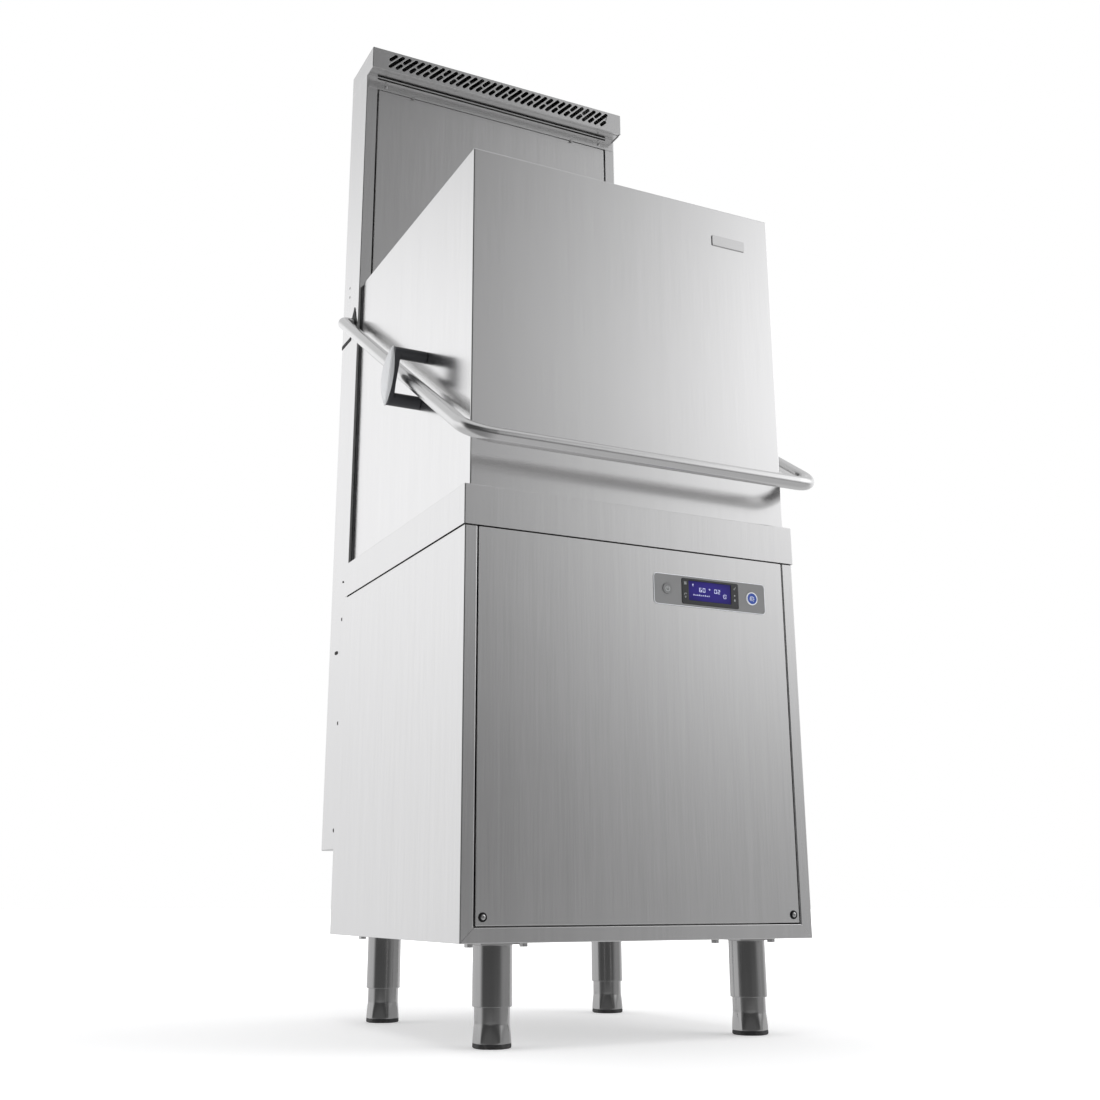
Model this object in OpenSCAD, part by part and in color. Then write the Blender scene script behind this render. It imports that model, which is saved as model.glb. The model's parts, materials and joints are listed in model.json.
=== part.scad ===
// Pass-through hood dishwasher with a rear steam-recovery tower.
// Millimetres, +Z up, front towards -Y, floor at Z = 0, origin under the middle of the whole machine.

/* [Cabinet] */
// Width over the cabinet's side panels
cabinet_w = 631; // [625:1:640]
// Depth of the cabinet's side panels
cabinet_d = 616; // [612:1:640]
// Height of the cabinet's underside above the floor
cabinet_bottom = 150; // [140:1:165]
// Height of the cabinet's top edge, just under the rim
cabinet_top = 781; // [775:1:785]
// Width of the visible frame around the front panel
frame_w = 22.5; // [18:0.5:26]
// Gap between the front panel and its frame
panel_gap = 2; // [1.5:0.25:3]
// Thickness of the sheet steel
sheet = 1.5; // [1.2:0.1:1.6]

/* [Rim] */
// Width of the rim that the side tables join
rim_w = 635; // [634:1:645]
// Height of the rim's top edge, the working height
rim_top = 850; // [846:1:860]
// Height of the rim's skirt
rim_h = 67; // [62:1:69]
// How far the rim stands in front of the cabinet
rim_proud = 2; // [1:0.5:3]

/* [Hood] */
// Width of the hood
hood_w = 611; // [606:1:613]
// Front face of the hood behind the cabinet's front face
hood_front = 5.5; // [5:0.5:7]
// Rear edge of the hood
hood_rear = 589; // [585:1:590]
// Height of the hood's top when it is closed
hood_top = 1460.5; // [1440:0.5:1465]
// How far the closed hood reaches below the rim's top edge
hood_sunk = 38; // [30:1:42]

/* [Tower] */
// Width over the two columns
tower_w = 625.6; // [625:0.2:626]
// Front face of the columns
tower_front = 597; // [597:0.5:599]
// Rear face of the tower
tower_rear = 699.5; // [695:0.5:710]
// Height of the columns' lower ends
tower_bottom = 301.5; // [290:0.5:320]
// Height of the canopy's underside
canopy_bottom = 1968; // [1960:1:1975]
// Height of the canopy's top
canopy_top = 2018.5; // [2015:0.5:2025]
// Front face of the canopy
canopy_front = 561.5; // [555:0.5:565]
// Width of the front flange of each column
flange_w = 24.6; // [24:0.1:25]
// Distance between the vent slots along the canopy
vent_pitch = 16.1; // [15.5:0.1:16.5]
// Width of one vent slot
vent_w = 8; // [7:0.5:8.5]
// Number of vent slots on each side of the middle one
vent_half_count = 17; // [10:1:17]

/* [Handle] */
// Diameter of the handle tube
tube_d = 25; // [24.5:0.5:25.5]
// Middle of the front bar, in front of the cabinet's front face
bar_y = -60; // [-65:1:-55]
// Height of the front bar
bar_z = 915; // [905:1:925]
// Half width of the handle, to the middle of its side arms
arm_x = 336; // [335:1:340]
// Bend radius of the two front corners
corner_r = 48; // [40:1:60]
// Depth of the handle's pivot
pivot_y = 626; // [624:1:628]
// Height of the handle's pivot
pivot_z = 1378; // [1375:1:1381]
// Middle of the yokes that the handle runs through
yoke_y = 233; // [231:1:235]
// Height of the middle of the yokes
yoke_z = 1109; // [1108:1:1110]
// Forward lean of the yokes
yoke_lean = 20; // [18:1:22]

/* [Feet] */
// Distance of the legs from the middle plane
leg_x = 231.5; // [225:0.5:235]
// Depth of the front legs
leg_front = 69.5; // [66:0.5:74]
// Depth of the rear legs
leg_rear = 550.5; // [540:0.5:555]
// Diameter of the leg sleeves
sleeve_d = 60; // [59:0.5:61]
// Height of the sleeves' lower ends
sleeve_end = 58; // [52:1:64]

/* [Hidden] */
$fn = 48;
tiny = 0.01;

steel = [0.78, 0.78, 0.77];
steel_dark = [0.55, 0.56, 0.57];
black = [0.08, 0.08, 0.09];
charcoal = [0.2, 0.2, 0.22];
grey_plastic = [0.62, 0.64, 0.66];
blue = [0.1, 0.12, 0.6];
copper = [0.72, 0.42, 0.28];

tube_r = tube_d / 2;
mid_y = (bar_y - tube_r + tower_rear) / 2;
half_w = cabinet_w / 2;
rim_half = rim_w / 2;
hood_half = hood_w / 2;
tower_half = tower_w / 2;
flange_in = tower_half - flange_w;
column_in = tower_half - sheet;
rear_cover_y = tower_front - 2.5;

// rim and chamber
rim_bottom = rim_top - rim_h;
trough_z = rim_top - 50;
upstand_top = rim_top - 4;
opening_half = 283.5;
opening_front = 30;
opening_rear = 578;
hood_bottom = rim_top - hood_sunk;
rim_back = tower_front - 3.5;

// tank and spray system
arm_y = 290;
riser_y = 561;
tank_bottom = 640;
sump_bottom = 560;
manifold_z = 690;
manifold_r = 14;
spindle_r = 8;
running = 0.05;
riser_z = 1350;
riser_bend = 40;

// handle
handle_run = pivot_y - bar_y;
handle_rise = pivot_z - bar_z;
handle_len = sqrt(handle_run * handle_run + handle_rise * handle_rise);
handle_tilt = atan2(handle_rise, handle_run);
rear_bend = 13;
slot_y = pivot_y + 12;
slot_z = [pivot_z - 31, pivot_z - 22];
crank_x = 300;
crank_t = 6;
crank_len = 46;
crank_y = pivot_y + crank_len * cos(handle_tilt);
crank_z = pivot_z + crank_len * sin(handle_tilt);
spring_r = 8;
spring_bottom = 905;
yoke_depth = 30;
yoke_arm_top = [42.5, 21];
yoke_arm_low = [-40.5, 24];
yoke_out = 358;
yoke_wall = 9;

// hood guides
rail_x = 271.5;
rail_y = 640;
rail_r = 8;

// fan
fan_y = 650;
fan_z = 1870;

// control panel
fascia_x = [28, 253];
fascia_z = [686, 739.5];
bezel_x = [83, 197.5];
bezel_z = [691, 735];
screen_x = [97, 181.5];
screen_z = [698, 731.5];
power_at = [54.5, 713.5];
start_at = [225.2, 712];
power_r = 9;
start_r = 11.3;
button_gap = 0.3;

// pump
pump_y = 185;
pump_z = 280;

// rear connections
water_in = [-150, 240];
drain_out = [150, 225];
gland_at = [232, 240];
spigot_y = rear_cover_y + sheet + 1;

// shifts machine coordinates so that the origin is under the middle of the whole machine
module place() translate([0, -mid_y, 0]) children();
module both_sides() {
    children();
    mirror([1, 0, 0]) children();
}
module block(x, y, z) translate([x[0], y[0], z[0]]) cube([x[1] - x[0], y[1] - y[0], z[1] - z[0]]);
// extrudes an X-Z outline backwards from depth y
module slab_xz(y, t) translate([0, y + t, 0]) rotate([90, 0, 0]) linear_extrude(t) children();
// extrudes a Y-Z outline to the right from x
module slab_yz(x, t) translate([x, 0, 0]) rotate([90, 0, 90]) linear_extrude(t) children();
module rod_x(x, y, z, r) translate([x[0], y, z]) rotate([0, 90, 0]) cylinder(h = x[1] - x[0], r = r);
module rod_y(x, y, z, r) translate([x, y[0], z]) rotate([-90, 0, 0]) cylinder(h = y[1] - y[0], r = r);
module rod_z(x, y, z, r) translate([x, y, z[0]]) cylinder(h = z[1] - z[0], r = r);
module rounded(x, z, r) {
    translate([x[0] + r, z[0]]) square([x[1] - x[0] - 2 * r, z[1] - z[0]]);
    translate([x[0], z[0] + r]) square([x[1] - x[0], z[1] - z[0] - 2 * r]);
    for (cx = [x[0] + r, x[1] - r], cz = [z[0] + r, z[1] - r]) translate([cx, cz]) circle(r);
}
// slot with round ends, centred on the origin
module stadium(length, width) {
    square([length - width, width], center = true);
    for (s = [-1, 1]) translate([s * (length - width) / 2, 0]) circle(width / 2);
}

// ---- cabinet ----

module side_panel() color(steel) {
    block([half_w - sheet, half_w], [sheet, cabinet_d], [cabinet_bottom, cabinet_top]);
    slab_xz(0, sheet) polygon([
        [half_w, cabinet_bottom + 0.3],
        [half_w, cabinet_top],
        [half_w - frame_w, cabinet_top],
        [half_w - frame_w, cabinet_bottom + frame_w + 0.3]]);
    block([half_w - frame_w, half_w - frame_w + sheet], [sheet, 22],
        [cabinet_bottom + frame_w + 4, cabinet_top]);
}

module channel(y) difference() {
    block([-300, 300], [y - 26, y + 26], [cabinet_bottom + sheet - tiny, cabinet_bottom + 30]);
    block([-301, 301], [y - 24, y + 24], [cabinet_bottom + sheet, cabinet_bottom + 28]);
}

module bottom_pan() color(steel) {
    inner = half_w - sheet - 0.2;
    slab_xz(0, sheet) polygon([
        [-half_w, cabinet_bottom],
        [half_w, cabinet_bottom],
        [half_w - frame_w, cabinet_bottom + frame_w],
        [frame_w - half_w, cabinet_bottom + frame_w]]);
    block([-inner, inner], [sheet - tiny, rear_cover_y - 0.2], [cabinet_bottom, cabinet_bottom + sheet]);
    block([frame_w - half_w + 4, half_w - frame_w - 4], [sheet - tiny, 22],
        [cabinet_bottom + frame_w - sheet, cabinet_bottom + frame_w]);
    channel(leg_front);
    channel(leg_rear);
}

panel_half = half_w - frame_w - panel_gap;
panel_z = [cabinet_bottom + frame_w + panel_gap, cabinet_top];
screw_at = [279, 187];

module front_panel() color(steel) {
    difference() {
        block([-panel_half, panel_half], [0, sheet], panel_z);
        slab_xz(-1, 4) translate(power_at) circle(power_r + 1);
        slab_xz(-1, 4) translate(start_at) circle(start_r + 1);
        block(bezel_x + [1, -1], [-1, 3], bezel_z + [1, -1]);
        for (s = [-1, 1]) slab_xz(-1, 4) translate([s * screw_at[0], screw_at[1]]) circle(3);
    }
    both_sides() block([panel_half - sheet, panel_half], [sheet - tiny, 18], panel_z);
    block([sheet - panel_half, panel_half - sheet], [sheet - tiny, 18], [panel_z[0], panel_z[0] + sheet]);
}

module panel_screws() color(steel_dark) for (s = [-1, 1]) {
    rod_y(s * screw_at[0], [-0.8, 0], screw_at[1], 7);
    rod_y(s * screw_at[0], [-3, -0.8], screw_at[1], 4.5);
    rod_y(s * screw_at[0], [0, 14], screw_at[1], 2.6);
}

module rear_cover() color(steel) difference() {
    block([2 - half_w, half_w - 2], [rear_cover_y, rear_cover_y + sheet],
        [cabinet_bottom + 2, cabinet_top]);
    rod_y(water_in[0], [rear_cover_y - 1, rear_cover_y + 3], water_in[1], 14);
    rod_y(drain_out[0], [rear_cover_y - 1, rear_cover_y + 3], drain_out[1], 17);
    rod_y(gland_at[0], [rear_cover_y - 1, rear_cover_y + 3], gland_at[1], 12.3);
}

module cabinet_bolts() color(steel_dark) for (x = [-290, -200, 141, 250], y = [26, 504])
    translate([x, y, cabinet_bottom - 6]) cylinder(h = 6, r = 7, $fn = 6);

// ---- rim, tank and spray system ----

module rim_frame() color(steel) {
    skirt_in = rim_half - sheet;
    difference() {
        block([-rim_half, rim_half], [-rim_proud, tower_front + 2], [rim_bottom, rim_top]);
        block([-skirt_in, skirt_in], [sheet - rim_proud, tower_front + 3],
            [rim_bottom - 1, rim_top - sheet]);
        block([-skirt_in + 5, skirt_in - 5], [sheet - rim_proud + 4, tower_front + 3],
            [rim_top - 3, rim_top + 1]);
        block([-skirt_in, skirt_in], [rim_back, tower_front + 3], [rim_top - 3, rim_top + 1]);
    }
    difference() {
        block([-skirt_in - tiny, skirt_in + tiny], [sheet - rim_proud - tiny, rim_back],
            [trough_z, trough_z + sheet]);
        block([-opening_half, opening_half], [opening_front, opening_rear], [trough_z - 1, trough_z + 3]);
    }
    difference() {
        block([-opening_half - sheet, opening_half + sheet], [opening_front - sheet, opening_rear + sheet],
            [trough_z + sheet - tiny, upstand_top]);
        block([-opening_half, opening_half], [opening_front, opening_rear], [trough_z, rim_top]);
    }
    block([-skirt_in - tiny, skirt_in + tiny], [rim_back - sheet, rim_back],
        [trough_z + sheet - tiny, upstand_top]);
}

module wash_tank() color(steel_dark) difference() {
    union() {
        block([-opening_half + 1, opening_half - 1], [opening_front + 1, opening_rear - 1],
            [tank_bottom, trough_z]);
        block([-300, 300], [15, 586], [trough_z - sheet, trough_z]);
        block([-90, 90], [210, 390], [sump_bottom, tank_bottom + sheet]);
    }
    block([-opening_half + 1 + sheet, opening_half - 1 - sheet],
        [opening_front + 1 + sheet, opening_rear - 1 - sheet], [tank_bottom + sheet, trough_z + 1]);
    block([-90 + sheet, 90 - sheet], [210 + sheet, 390 - sheet], [sump_bottom + sheet, tank_bottom + 3]);
    rod_z(0, pump_y, [tank_bottom - 1, tank_bottom + 3], manifold_r + 0.1);
    rod_z(-60, 250, [sump_bottom - 1, sump_bottom + 3], 16.1);
    rod_z(55, 360, [sump_bottom - 1, sump_bottom + 3], 16.1);
}

basket_at = [55, 330];
basket_r = 28;

// strainer plate on four posts, with a basket that hangs into the sump
module tank_strainer() color(steel) difference() {
    union() {
        block([-276, 276], [38, 570], [715, 716.5]);
        for (x = [-262, 262], y = [55, 545]) rod_z(x, y, [tank_bottom + sheet, 716], 5);
        rod_z(basket_at[0], basket_at[1], [sump_bottom + 20, 716], basket_r);
    }
    rod_z(basket_at[0], basket_at[1], [sump_bottom + 22, 718], basket_r - 2);
    rod_z(0, arm_y, [700, 718], manifold_r + 3);
    rod_z(0, riser_y, [700, 718], manifold_r + 3);
    for (x = [-240:48:240], y = [70:50:520]) {
        if (abs(x) > 40) rod_z(x, y, [714, 718], 5);
    }
}

module tank_heater() color(charcoal) {
    heater_z = 662;
    for (x = [95, 215]) rod_y(x, [110, 470], heater_z, 4.5);
    translate([155, 110, heater_z]) rotate([0, 0, 180]) rotate_extrude(angle = 180)
        translate([60, 0]) circle(4.5);
    for (x = [95, 215]) rod_y(x, [470, opening_rear - 1 - sheet], heater_z, 4.5);
    block([84, 226], [opening_rear - 8, opening_rear - 1 - sheet], [heater_z - 12, heater_z + 12]);
}

module rack_guide() color(steel) {
    z = upstand_top;
    rail = [-opening_half - sheet, opening_half + sheet];
    for (y = [48, 510]) block(rail, [y, y + 24], [z, z + 3]);
    for (y = [36, 542]) block(rail, [y, y + 3], [z, z + 26]);
    for (x = [-200, 0, 200], y = [[36, 50], [530, 545]]) block([x - 8, x + 8], y, [z, z + 3]);
    for (x = [-170, 170]) rod_y(x, [60, 525], z + 1.5, 1.5);
}

lower_hub = [774, 798];
lower_rinse = [800, 816];
upper_hub = [1302, 1326];
upper_rinse = [1284, 1300];

module lower_manifold() color(steel) {
    rod_y(0, [pump_y, riser_y], manifold_z, manifold_r);
    rod_z(0, pump_y, [tank_bottom - 0.5, manifold_z], manifold_r);
    translate([0, pump_y, manifold_z]) sphere(manifold_r);
    translate([0, riser_y, manifold_z]) sphere(manifold_r);
    rod_z(0, arm_y, [manifold_z, lower_hub[0] - 0.6], 15);
    rod_z(0, arm_y, [manifold_z, lower_rinse[1] + 8], spindle_r);
    translate([0, arm_y, lower_rinse[1] + 0.6]) cylinder(h = 8, r = 14, $fn = 6);
}

module wash_riser() color(steel) {
    z0 = manifold_z + manifold_r + 0.3;
    rod_z(0, riser_y, [z0, riser_z - riser_bend], manifold_r);
    translate([0, riser_y - riser_bend, riser_z - riser_bend]) rotate([90, 0, 90])
        rotate_extrude(angle = 90) translate([riser_bend, 0]) circle(manifold_r);
    rod_y(0, [arm_y, riser_y - riser_bend], riser_z, manifold_r);
    translate([0, arm_y, riser_z]) sphere(manifold_r);
    rod_z(0, arm_y, [upper_hub[1] + 0.6, riser_z], 13);
    rod_z(0, arm_y, [upper_rinse[0] - 8, riser_z], spindle_r);
    translate([0, arm_y, upper_rinse[0] - 8.6]) cylinder(h = 8, r = 14, $fn = 6);
    for (z = [1000, 1220]) difference() {
        block([-22, 22], [riser_y + 6, tower_front + 1], [z, z + 20]);
        rod_z(0, riser_y, [z - 1, z + 21], manifold_r - 1);
        block([-19, 19], [riser_y + 16, tower_front - 1], [z - 1, z + 21]);
    }
}

// flat spray arm with a hub, its nozzle slots on the face towards the rack
module wash_arm(z, nozzles_up) color(steel) {
    mid = (z[0] + z[1]) / 2;
    difference() {
        union() {
            translate([0, arm_y, mid - 7]) linear_extrude(14) stadium(460, 38);
            rod_z(0, arm_y, z, 22);
        }
        rod_z(0, arm_y, [z[0] - 1, z[1] + 1], spindle_r + running);
        for (s = [-1, 1], i = [0:4]) translate([s * (55 + 38 * i), arm_y + s * (i % 2 == 0 ? 6 : -6),
            mid + (nozzles_up ? 5 : -8)]) linear_extrude(3) stadium(18, 4);
    }
}

module rinse_arm(z, turn) color(steel) translate([0, arm_y, 0]) rotate([0, 0, turn]) difference() {
    mid = (z[0] + z[1]) / 2;
    union() {
        rod_x([-215, 215], 0, mid, 6.5);
        rod_z(0, 0, z, 17);
    }
    rod_z(0, 0, [z[0] - 1, z[1] + 1], spindle_r + running);
    for (s = [-1, 1], i = [0:5]) rod_z(s * (45 + 31 * i), 0, [mid - (s > 0 ? 9 : 0), mid + (s > 0 ? 0 : 9)],
        1.2);
}

// ---- tower ----

module back_panel() color(steel) {
    half = flange_in - 4;
    difference() {
        block([-half, half], [tower_front + 1, tower_front + 1 + sheet], [rim_bottom, canopy_bottom - 30]);
        for (i = [-9:9]) slab_xz(tower_front, 4) translate([i * 26, 1405]) rotate([0, 0, 90])
            stadium(50, 8);
    }
    both_sides() block([half - sheet, half], [tower_front + 1, tower_front + 7],
        [rim_bottom, canopy_bottom - 30]);
}

module column() color(steel) {
    z = [tower_bottom, canopy_bottom];
    difference() {
        block([column_in, tower_half], [tower_front, tower_rear], z);
        rod_x([column_in - 1, tower_half + 1], pivot_y, pivot_z, 17 + running);
        block([column_in - 1, tower_half + 1], [slot_y, tower_rear + 1], slot_z);
        rod_x([column_in - 1, tower_half + 1], 661, 1477, 2.6);
        rod_x([column_in - 1, tower_half + 1], 659, 1455, 2.6);
    }
    for (y = [tower_front, tower_rear - sheet]) block([flange_in, column_in + tiny], [y, y + sheet], z);
    block([flange_in, column_in + tiny], [tower_front, tower_rear], [z[0], z[0] + sheet]);
}

module guide_rails() color(steel_dark) both_sides() {
    rod_z(rail_x, rail_y, [spring_bottom, canopy_bottom - 20], rail_r);
    block([rail_x - 12, column_in], [rail_y - 12, crank_y + 12], [spring_bottom - 6, spring_bottom]);
    block([rail_x - 12, column_in], [rail_y - 12, rail_y + 12], [canopy_bottom - 20, canopy_bottom - 14]);
}

module pivot_bushes() color(black) both_sides() difference() {
    union() {
        rod_x([column_in, tower_half], pivot_y, pivot_z, 17);
        rod_x([column_in - 1.5, column_in], pivot_y, pivot_z, 20);
        rod_x([tower_half, tower_half + 1], pivot_y, pivot_z, 20);
        slab_yz(tower_half, 1) polygon([
            [pivot_y - 19, pivot_z + 6],
            [pivot_y + 17, pivot_z + 10],
            [pivot_y + 2, pivot_z + 28],
            [pivot_y - 5, pivot_z + 38],
            [pivot_y - 9, pivot_z + 34]]);
        block([column_in + tiny, tower_half + 0.8], [slot_y, tower_rear], slot_z);
    }
    rod_x([column_in - 3, tower_half + 3], pivot_y, pivot_z, tube_r + running);
}

module springs() color(steel_dark) both_sides() {
    top = crank_z - 21;
    difference() {
        rod_z(crank_x - 4, crank_y, [spring_bottom, top], spring_r);
        rod_z(crank_x - 4, crank_y, [spring_bottom + 3, top - 3], spring_r - 2);
    }
    rod_z(crank_x - 4, crank_y, [top - 1, crank_z - 5.5], 1.5);
}

module tower_rear_cover() color(steel) {
    half = flange_in - 0.4;
    block([-half, half], [tower_rear - sheet, tower_rear], [tower_bottom, canopy_bottom]);
    block([-half, half], [tower_front + 3, tower_rear], [tower_bottom, tower_bottom + sheet]);
}

// slanted slots, every second one split by a web; the first and last are half slots
module vent_outline() for (i = [-vent_half_count:vent_half_count])
    translate([i * vent_pitch, 0]) rotate([0, 0, 45]) {
        split = (i + vent_half_count) % 2 == 0;
        if (split && i < vent_half_count) translate([12, 0]) stadium(25, vent_w);
        if (split && i > -vent_half_count) translate([-14, 0]) stadium(21, vent_w);
        if (!split) stadium(50, vent_w);
    }

module canopy() color(steel) {
    difference() {
        block([-tower_half, tower_half], [canopy_front, tower_rear], [canopy_bottom, canopy_top]);
        block([-column_in, column_in], [canopy_front + sheet, tower_rear - sheet],
            [canopy_bottom - 1, canopy_top - sheet]);
        slab_xz(canopy_front - 1, 4) translate([0, canopy_top - 24]) vent_outline();
    }
    block([-column_in - tiny, column_in + tiny], [canopy_front + sheet - tiny, canopy_front + 11],
        [canopy_bottom, canopy_bottom + sheet]);
}

module canopy_floor() color(steel_dark) {
    z = canopy_bottom + sheet + 0.2;
    half = column_in - 0.2;
    block([-half, half], [canopy_front + sheet + 0.2, tower_front + sheet], [z, z + sheet]);
    block([-half, half], [tower_front, tower_front + sheet], [canopy_bottom + 0.2, z]);
}

module canopy_strip() color(steel)
    block([-309, 309], [tower_front - sheet, tower_front], [canopy_bottom - 29, canopy_bottom - 5]);

// pan-head screws on the strip and the column sides
module tower_screws() color(steel_dark) {
    for (s = [-1, 1]) {
        rod_y(s * 269, [tower_front - sheet - 2.2, tower_front - sheet], canopy_bottom - 20, 4);
        rod_y(s * 269, [tower_front - sheet - 1.6, tower_front - sheet], canopy_bottom - 9, 2.5);
    }
    both_sides() for (p = [[623, 743.5, 3.8], [650, 681, 3.4], [657, 681, 3.4], [623, 539, 3.8],
        [623, 337, 3.8], [627, 820, 2.2]]) {
        rod_x([tower_half, tower_half + 2], p[0], p[1], p[2]);
    }
}

module heat_exchanger() color(copper) {
    for (i = [-12:12]) block([i * 16 - 0.6, i * 16 + 0.6], [614, 688], [1570, 1780]);
    for (y = [632, 670], z = [1600:50:1750]) rod_x([-200, 200], y, z, 6);
    block([-202, -200], [612, 690], [1568, 1782]);
    block([200, 202], [612, 690], [1568, 1782]);
}

module fan_housing() color(steel_dark) difference() {
    block([-205, 205], [612, 688], [fan_z - 40, fan_z + 42]);
    rod_x([-200, 200], fan_y, fan_z, 32);
    block([-200, 200], [fan_y - 22, fan_y + 22], [fan_z, fan_z + 43]);
    block([-200, 200], [fan_y - 22, fan_y + 22], [fan_z - 41, fan_z]);
    rod_x([-206, 206], fan_y, fan_z, 4 + running);
}

module fan_motor() color(charcoal) difference() {
    rod_x([205, 245], fan_y, fan_z, 34);
    rod_x([204, 236], fan_y, fan_z, 4 + running);
}

module fan_rotor() color(charcoal) {
    rod_x([-204.5, 234], fan_y, fan_z, 4);
    for (x = [-196, -66, 64, 192]) rod_x([x, x + 4], fan_y, fan_z, 28);
    translate([0, fan_y, fan_z]) for (i = [0:11]) rotate([i * 30, 0, 0]) translate([-194, -1, 20])
        cube([388, 2, 7.5]);
}

// ---- control panel ----

module control_fascia() color(grey_plastic) difference() {
    slab_xz(-1, 1) rounded(fascia_x, fascia_z, 7);
    slab_xz(-2, 4) translate(power_at) circle(power_r + button_gap);
    slab_xz(-2, 4) translate(start_at) circle(start_r + button_gap);
    slab_xz(-2, 4) rounded(bezel_x + [-0.2, 0.2], bezel_z + [-0.2, 0.2], 3);
}

module display_bezel() color(black) difference() {
    union() {
        slab_xz(-1.8, 1.8) rounded(bezel_x, bezel_z, 3);
        block(bezel_x + [1.3, -1.3], [-0.1, 22], bezel_z + [1.3, -1.3]);
    }
    block(screen_x + [-0.2, 0.2], [-3, 2], screen_z + [-0.2, 0.2]);
}

module display_screen() color(blue) block(screen_x, [-1.3, 2], screen_z);

module button(at, r) color(grey_plastic) {
    rod_y(at[0], [-3, 1.2], at[1], r);
    rod_y(at[0], [1, 9], at[1], 3);
}

// ---- equipment in the cabinet ----

module control_box() color(charcoal) {
    difference() {
        block([-275, -60], [25, 110], [380, 600]);
        block([-273, -62], [24, 108], [382, 598]);
    }
    for (i = [0:5]) block([-258 + i * 32, -236 + i * 32], [60, 108], [460, 540]);
    block([-262, -72], [70, 108], [410, 440]);
}

module wash_pump() color(charcoal) difference() {
    union() {
        rod_x([-30, 32], pump_y, pump_z, 68);
        rod_x([32, 42], pump_y, pump_z, 40);
        rod_x([42, 190], pump_y, pump_z, 55);
        rod_x([-45, -30], pump_y, pump_z, 20);
        rod_z(0, pump_y, [pump_z + 50, pump_z + 85], 18);
        block([60, 170], [pump_y - 40, pump_y + 40], [cabinet_bottom + sheet, pump_z - 40]);
    }
    rod_x([-26, 28], pump_y, pump_z, 60);
    rod_x([-46, 0], pump_y, pump_z, 15);
    rod_z(0, pump_y, [pump_z + 40, pump_z + 86], 13);
    rod_x([0, 186], pump_y, pump_z, 8 + running);
}

module pump_impeller() color(steel_dark) {
    rod_x([-14, 184], pump_y, pump_z, 8);
    rod_x([10, 16], pump_y, pump_z, 52);
    translate([0, pump_y, pump_z]) for (i = [0:5]) rotate([i * 60, 0, 0]) translate([-12, -1.5, 10])
        cube([23, 3, 40]);
}

module boiler() color(steel) {
    rod_z(-185, 430, [230, 480], 80);
    translate([-185, 430, 480]) cylinder(h = 25, r1 = 80, r2 = 45);
    translate([-185, 430, 205]) cylinder(h = 25, r1 = 45, r2 = 80);
    rod_z(-185, 430, [505, 525], 35);
    for (a = [45:90:315]) rod_z(-185 + 60 * cos(a), 430 + 60 * sin(a), [cabinet_bottom + sheet, 240], 6);
}

module drain_pump() color(charcoal) {
    rod_z(150, 480, [180, 262], 38);
    rod_y(drain_out[0], [505, spigot_y], drain_out[1], 14);
    rod_y(drain_out[0], [spigot_y, tower_rear - 40], drain_out[1], 16);
    rod_z(150, 480, [262, 330], 30);
    rod_z(150, 480, [cabinet_bottom + sheet, 181], 20);
}

module dosing_pumps() color(grey_plastic) for (z = [230, 300]) {
    block([-270, -215], [30, 80], [z, z + 55]);
    rod_y(-242, [24, 31], z + 28, 22);
}

module inlet_valve() color(charcoal) {
    translate([water_in[0], 540, water_in[1]]) block([-22, 22], [0, 54], [-22, 22]);
    rod_y(water_in[0], [590, spigot_y], water_in[1], 12);
    rod_y(water_in[0], [spigot_y, tower_rear - 60], water_in[1], 13.2);
    rod_z(water_in[0] + 5, 556, [water_in[1] + 21, water_in[1] + 60], 16);
}

module cable_gland() color(black) difference() {
    union() {
        rod_y(gland_at[0], [rear_cover_y - 12, rear_cover_y + 3], gland_at[1], 12);
        rod_y(gland_at[0], [rear_cover_y + sheet, rear_cover_y + 9], gland_at[1], 17);
        rod_y(gland_at[0], [rear_cover_y + 9, rear_cover_y + 28], gland_at[1], 14);
        rod_y(gland_at[0], [rear_cover_y - 8, rear_cover_y], gland_at[1], 17);
    }
    rod_y(gland_at[0], [rear_cover_y - 13, rear_cover_y + 29], gland_at[1], 7);
}

module elbow_ball(p, r) translate(p) sphere(r);

module pipework() color(black) {
    // suction hose from the sump to the pump's inlet
    rod_z(-60, 250, [pump_z, sump_bottom - 0.2], 15);
    elbow_ball([-60, 250, pump_z], 15);
    rod_y(-60, [pump_y, 250], pump_z, 15);
    elbow_ball([-60, pump_y, pump_z], 15);
    rod_x([-60, -45.2], pump_y, pump_z, 15);
    // feed hose from the pump up to the manifold
    rod_z(0, pump_y, [pump_z + 85.2, tank_bottom - 0.7], 13);
    // drain hose from the sump to the drain pump
    rod_z(55, 360, [400, sump_bottom - 0.2], 14);
    elbow_ball([55, 360, 400], 14);
    rod_x([55, 150], 360, 400, 14);
    elbow_ball([150, 360, 400], 14);
    rod_y(150, [360, 480], 400, 14);
    elbow_ball([150, 480, 400], 14);
    rod_z(150, 480, [330.2, 400], 14);
    // fill pipe from the inlet valve to the boiler
    rod_z(water_in[0] + 5, 556, [water_in[1] + 60.2, 540], 8);
    elbow_ball([water_in[0] + 5, 556, 540], 8);
    rod_y(water_in[0] + 5, [445, 556], 540, 8);
    elbow_ball([water_in[0] + 5, 445, 540], 8);
    rod_x([-185, water_in[0] + 5], 445, 540, 8);
    rod_z(-185, 445, [525.2, 540], 8);
    elbow_ball([-185, 445, 540], 8);
}

// ---- legs and feet ----

module at_legs() for (x = [-leg_x, leg_x], y = [leg_front, leg_rear]) translate([x, y, 0]) children();

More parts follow.
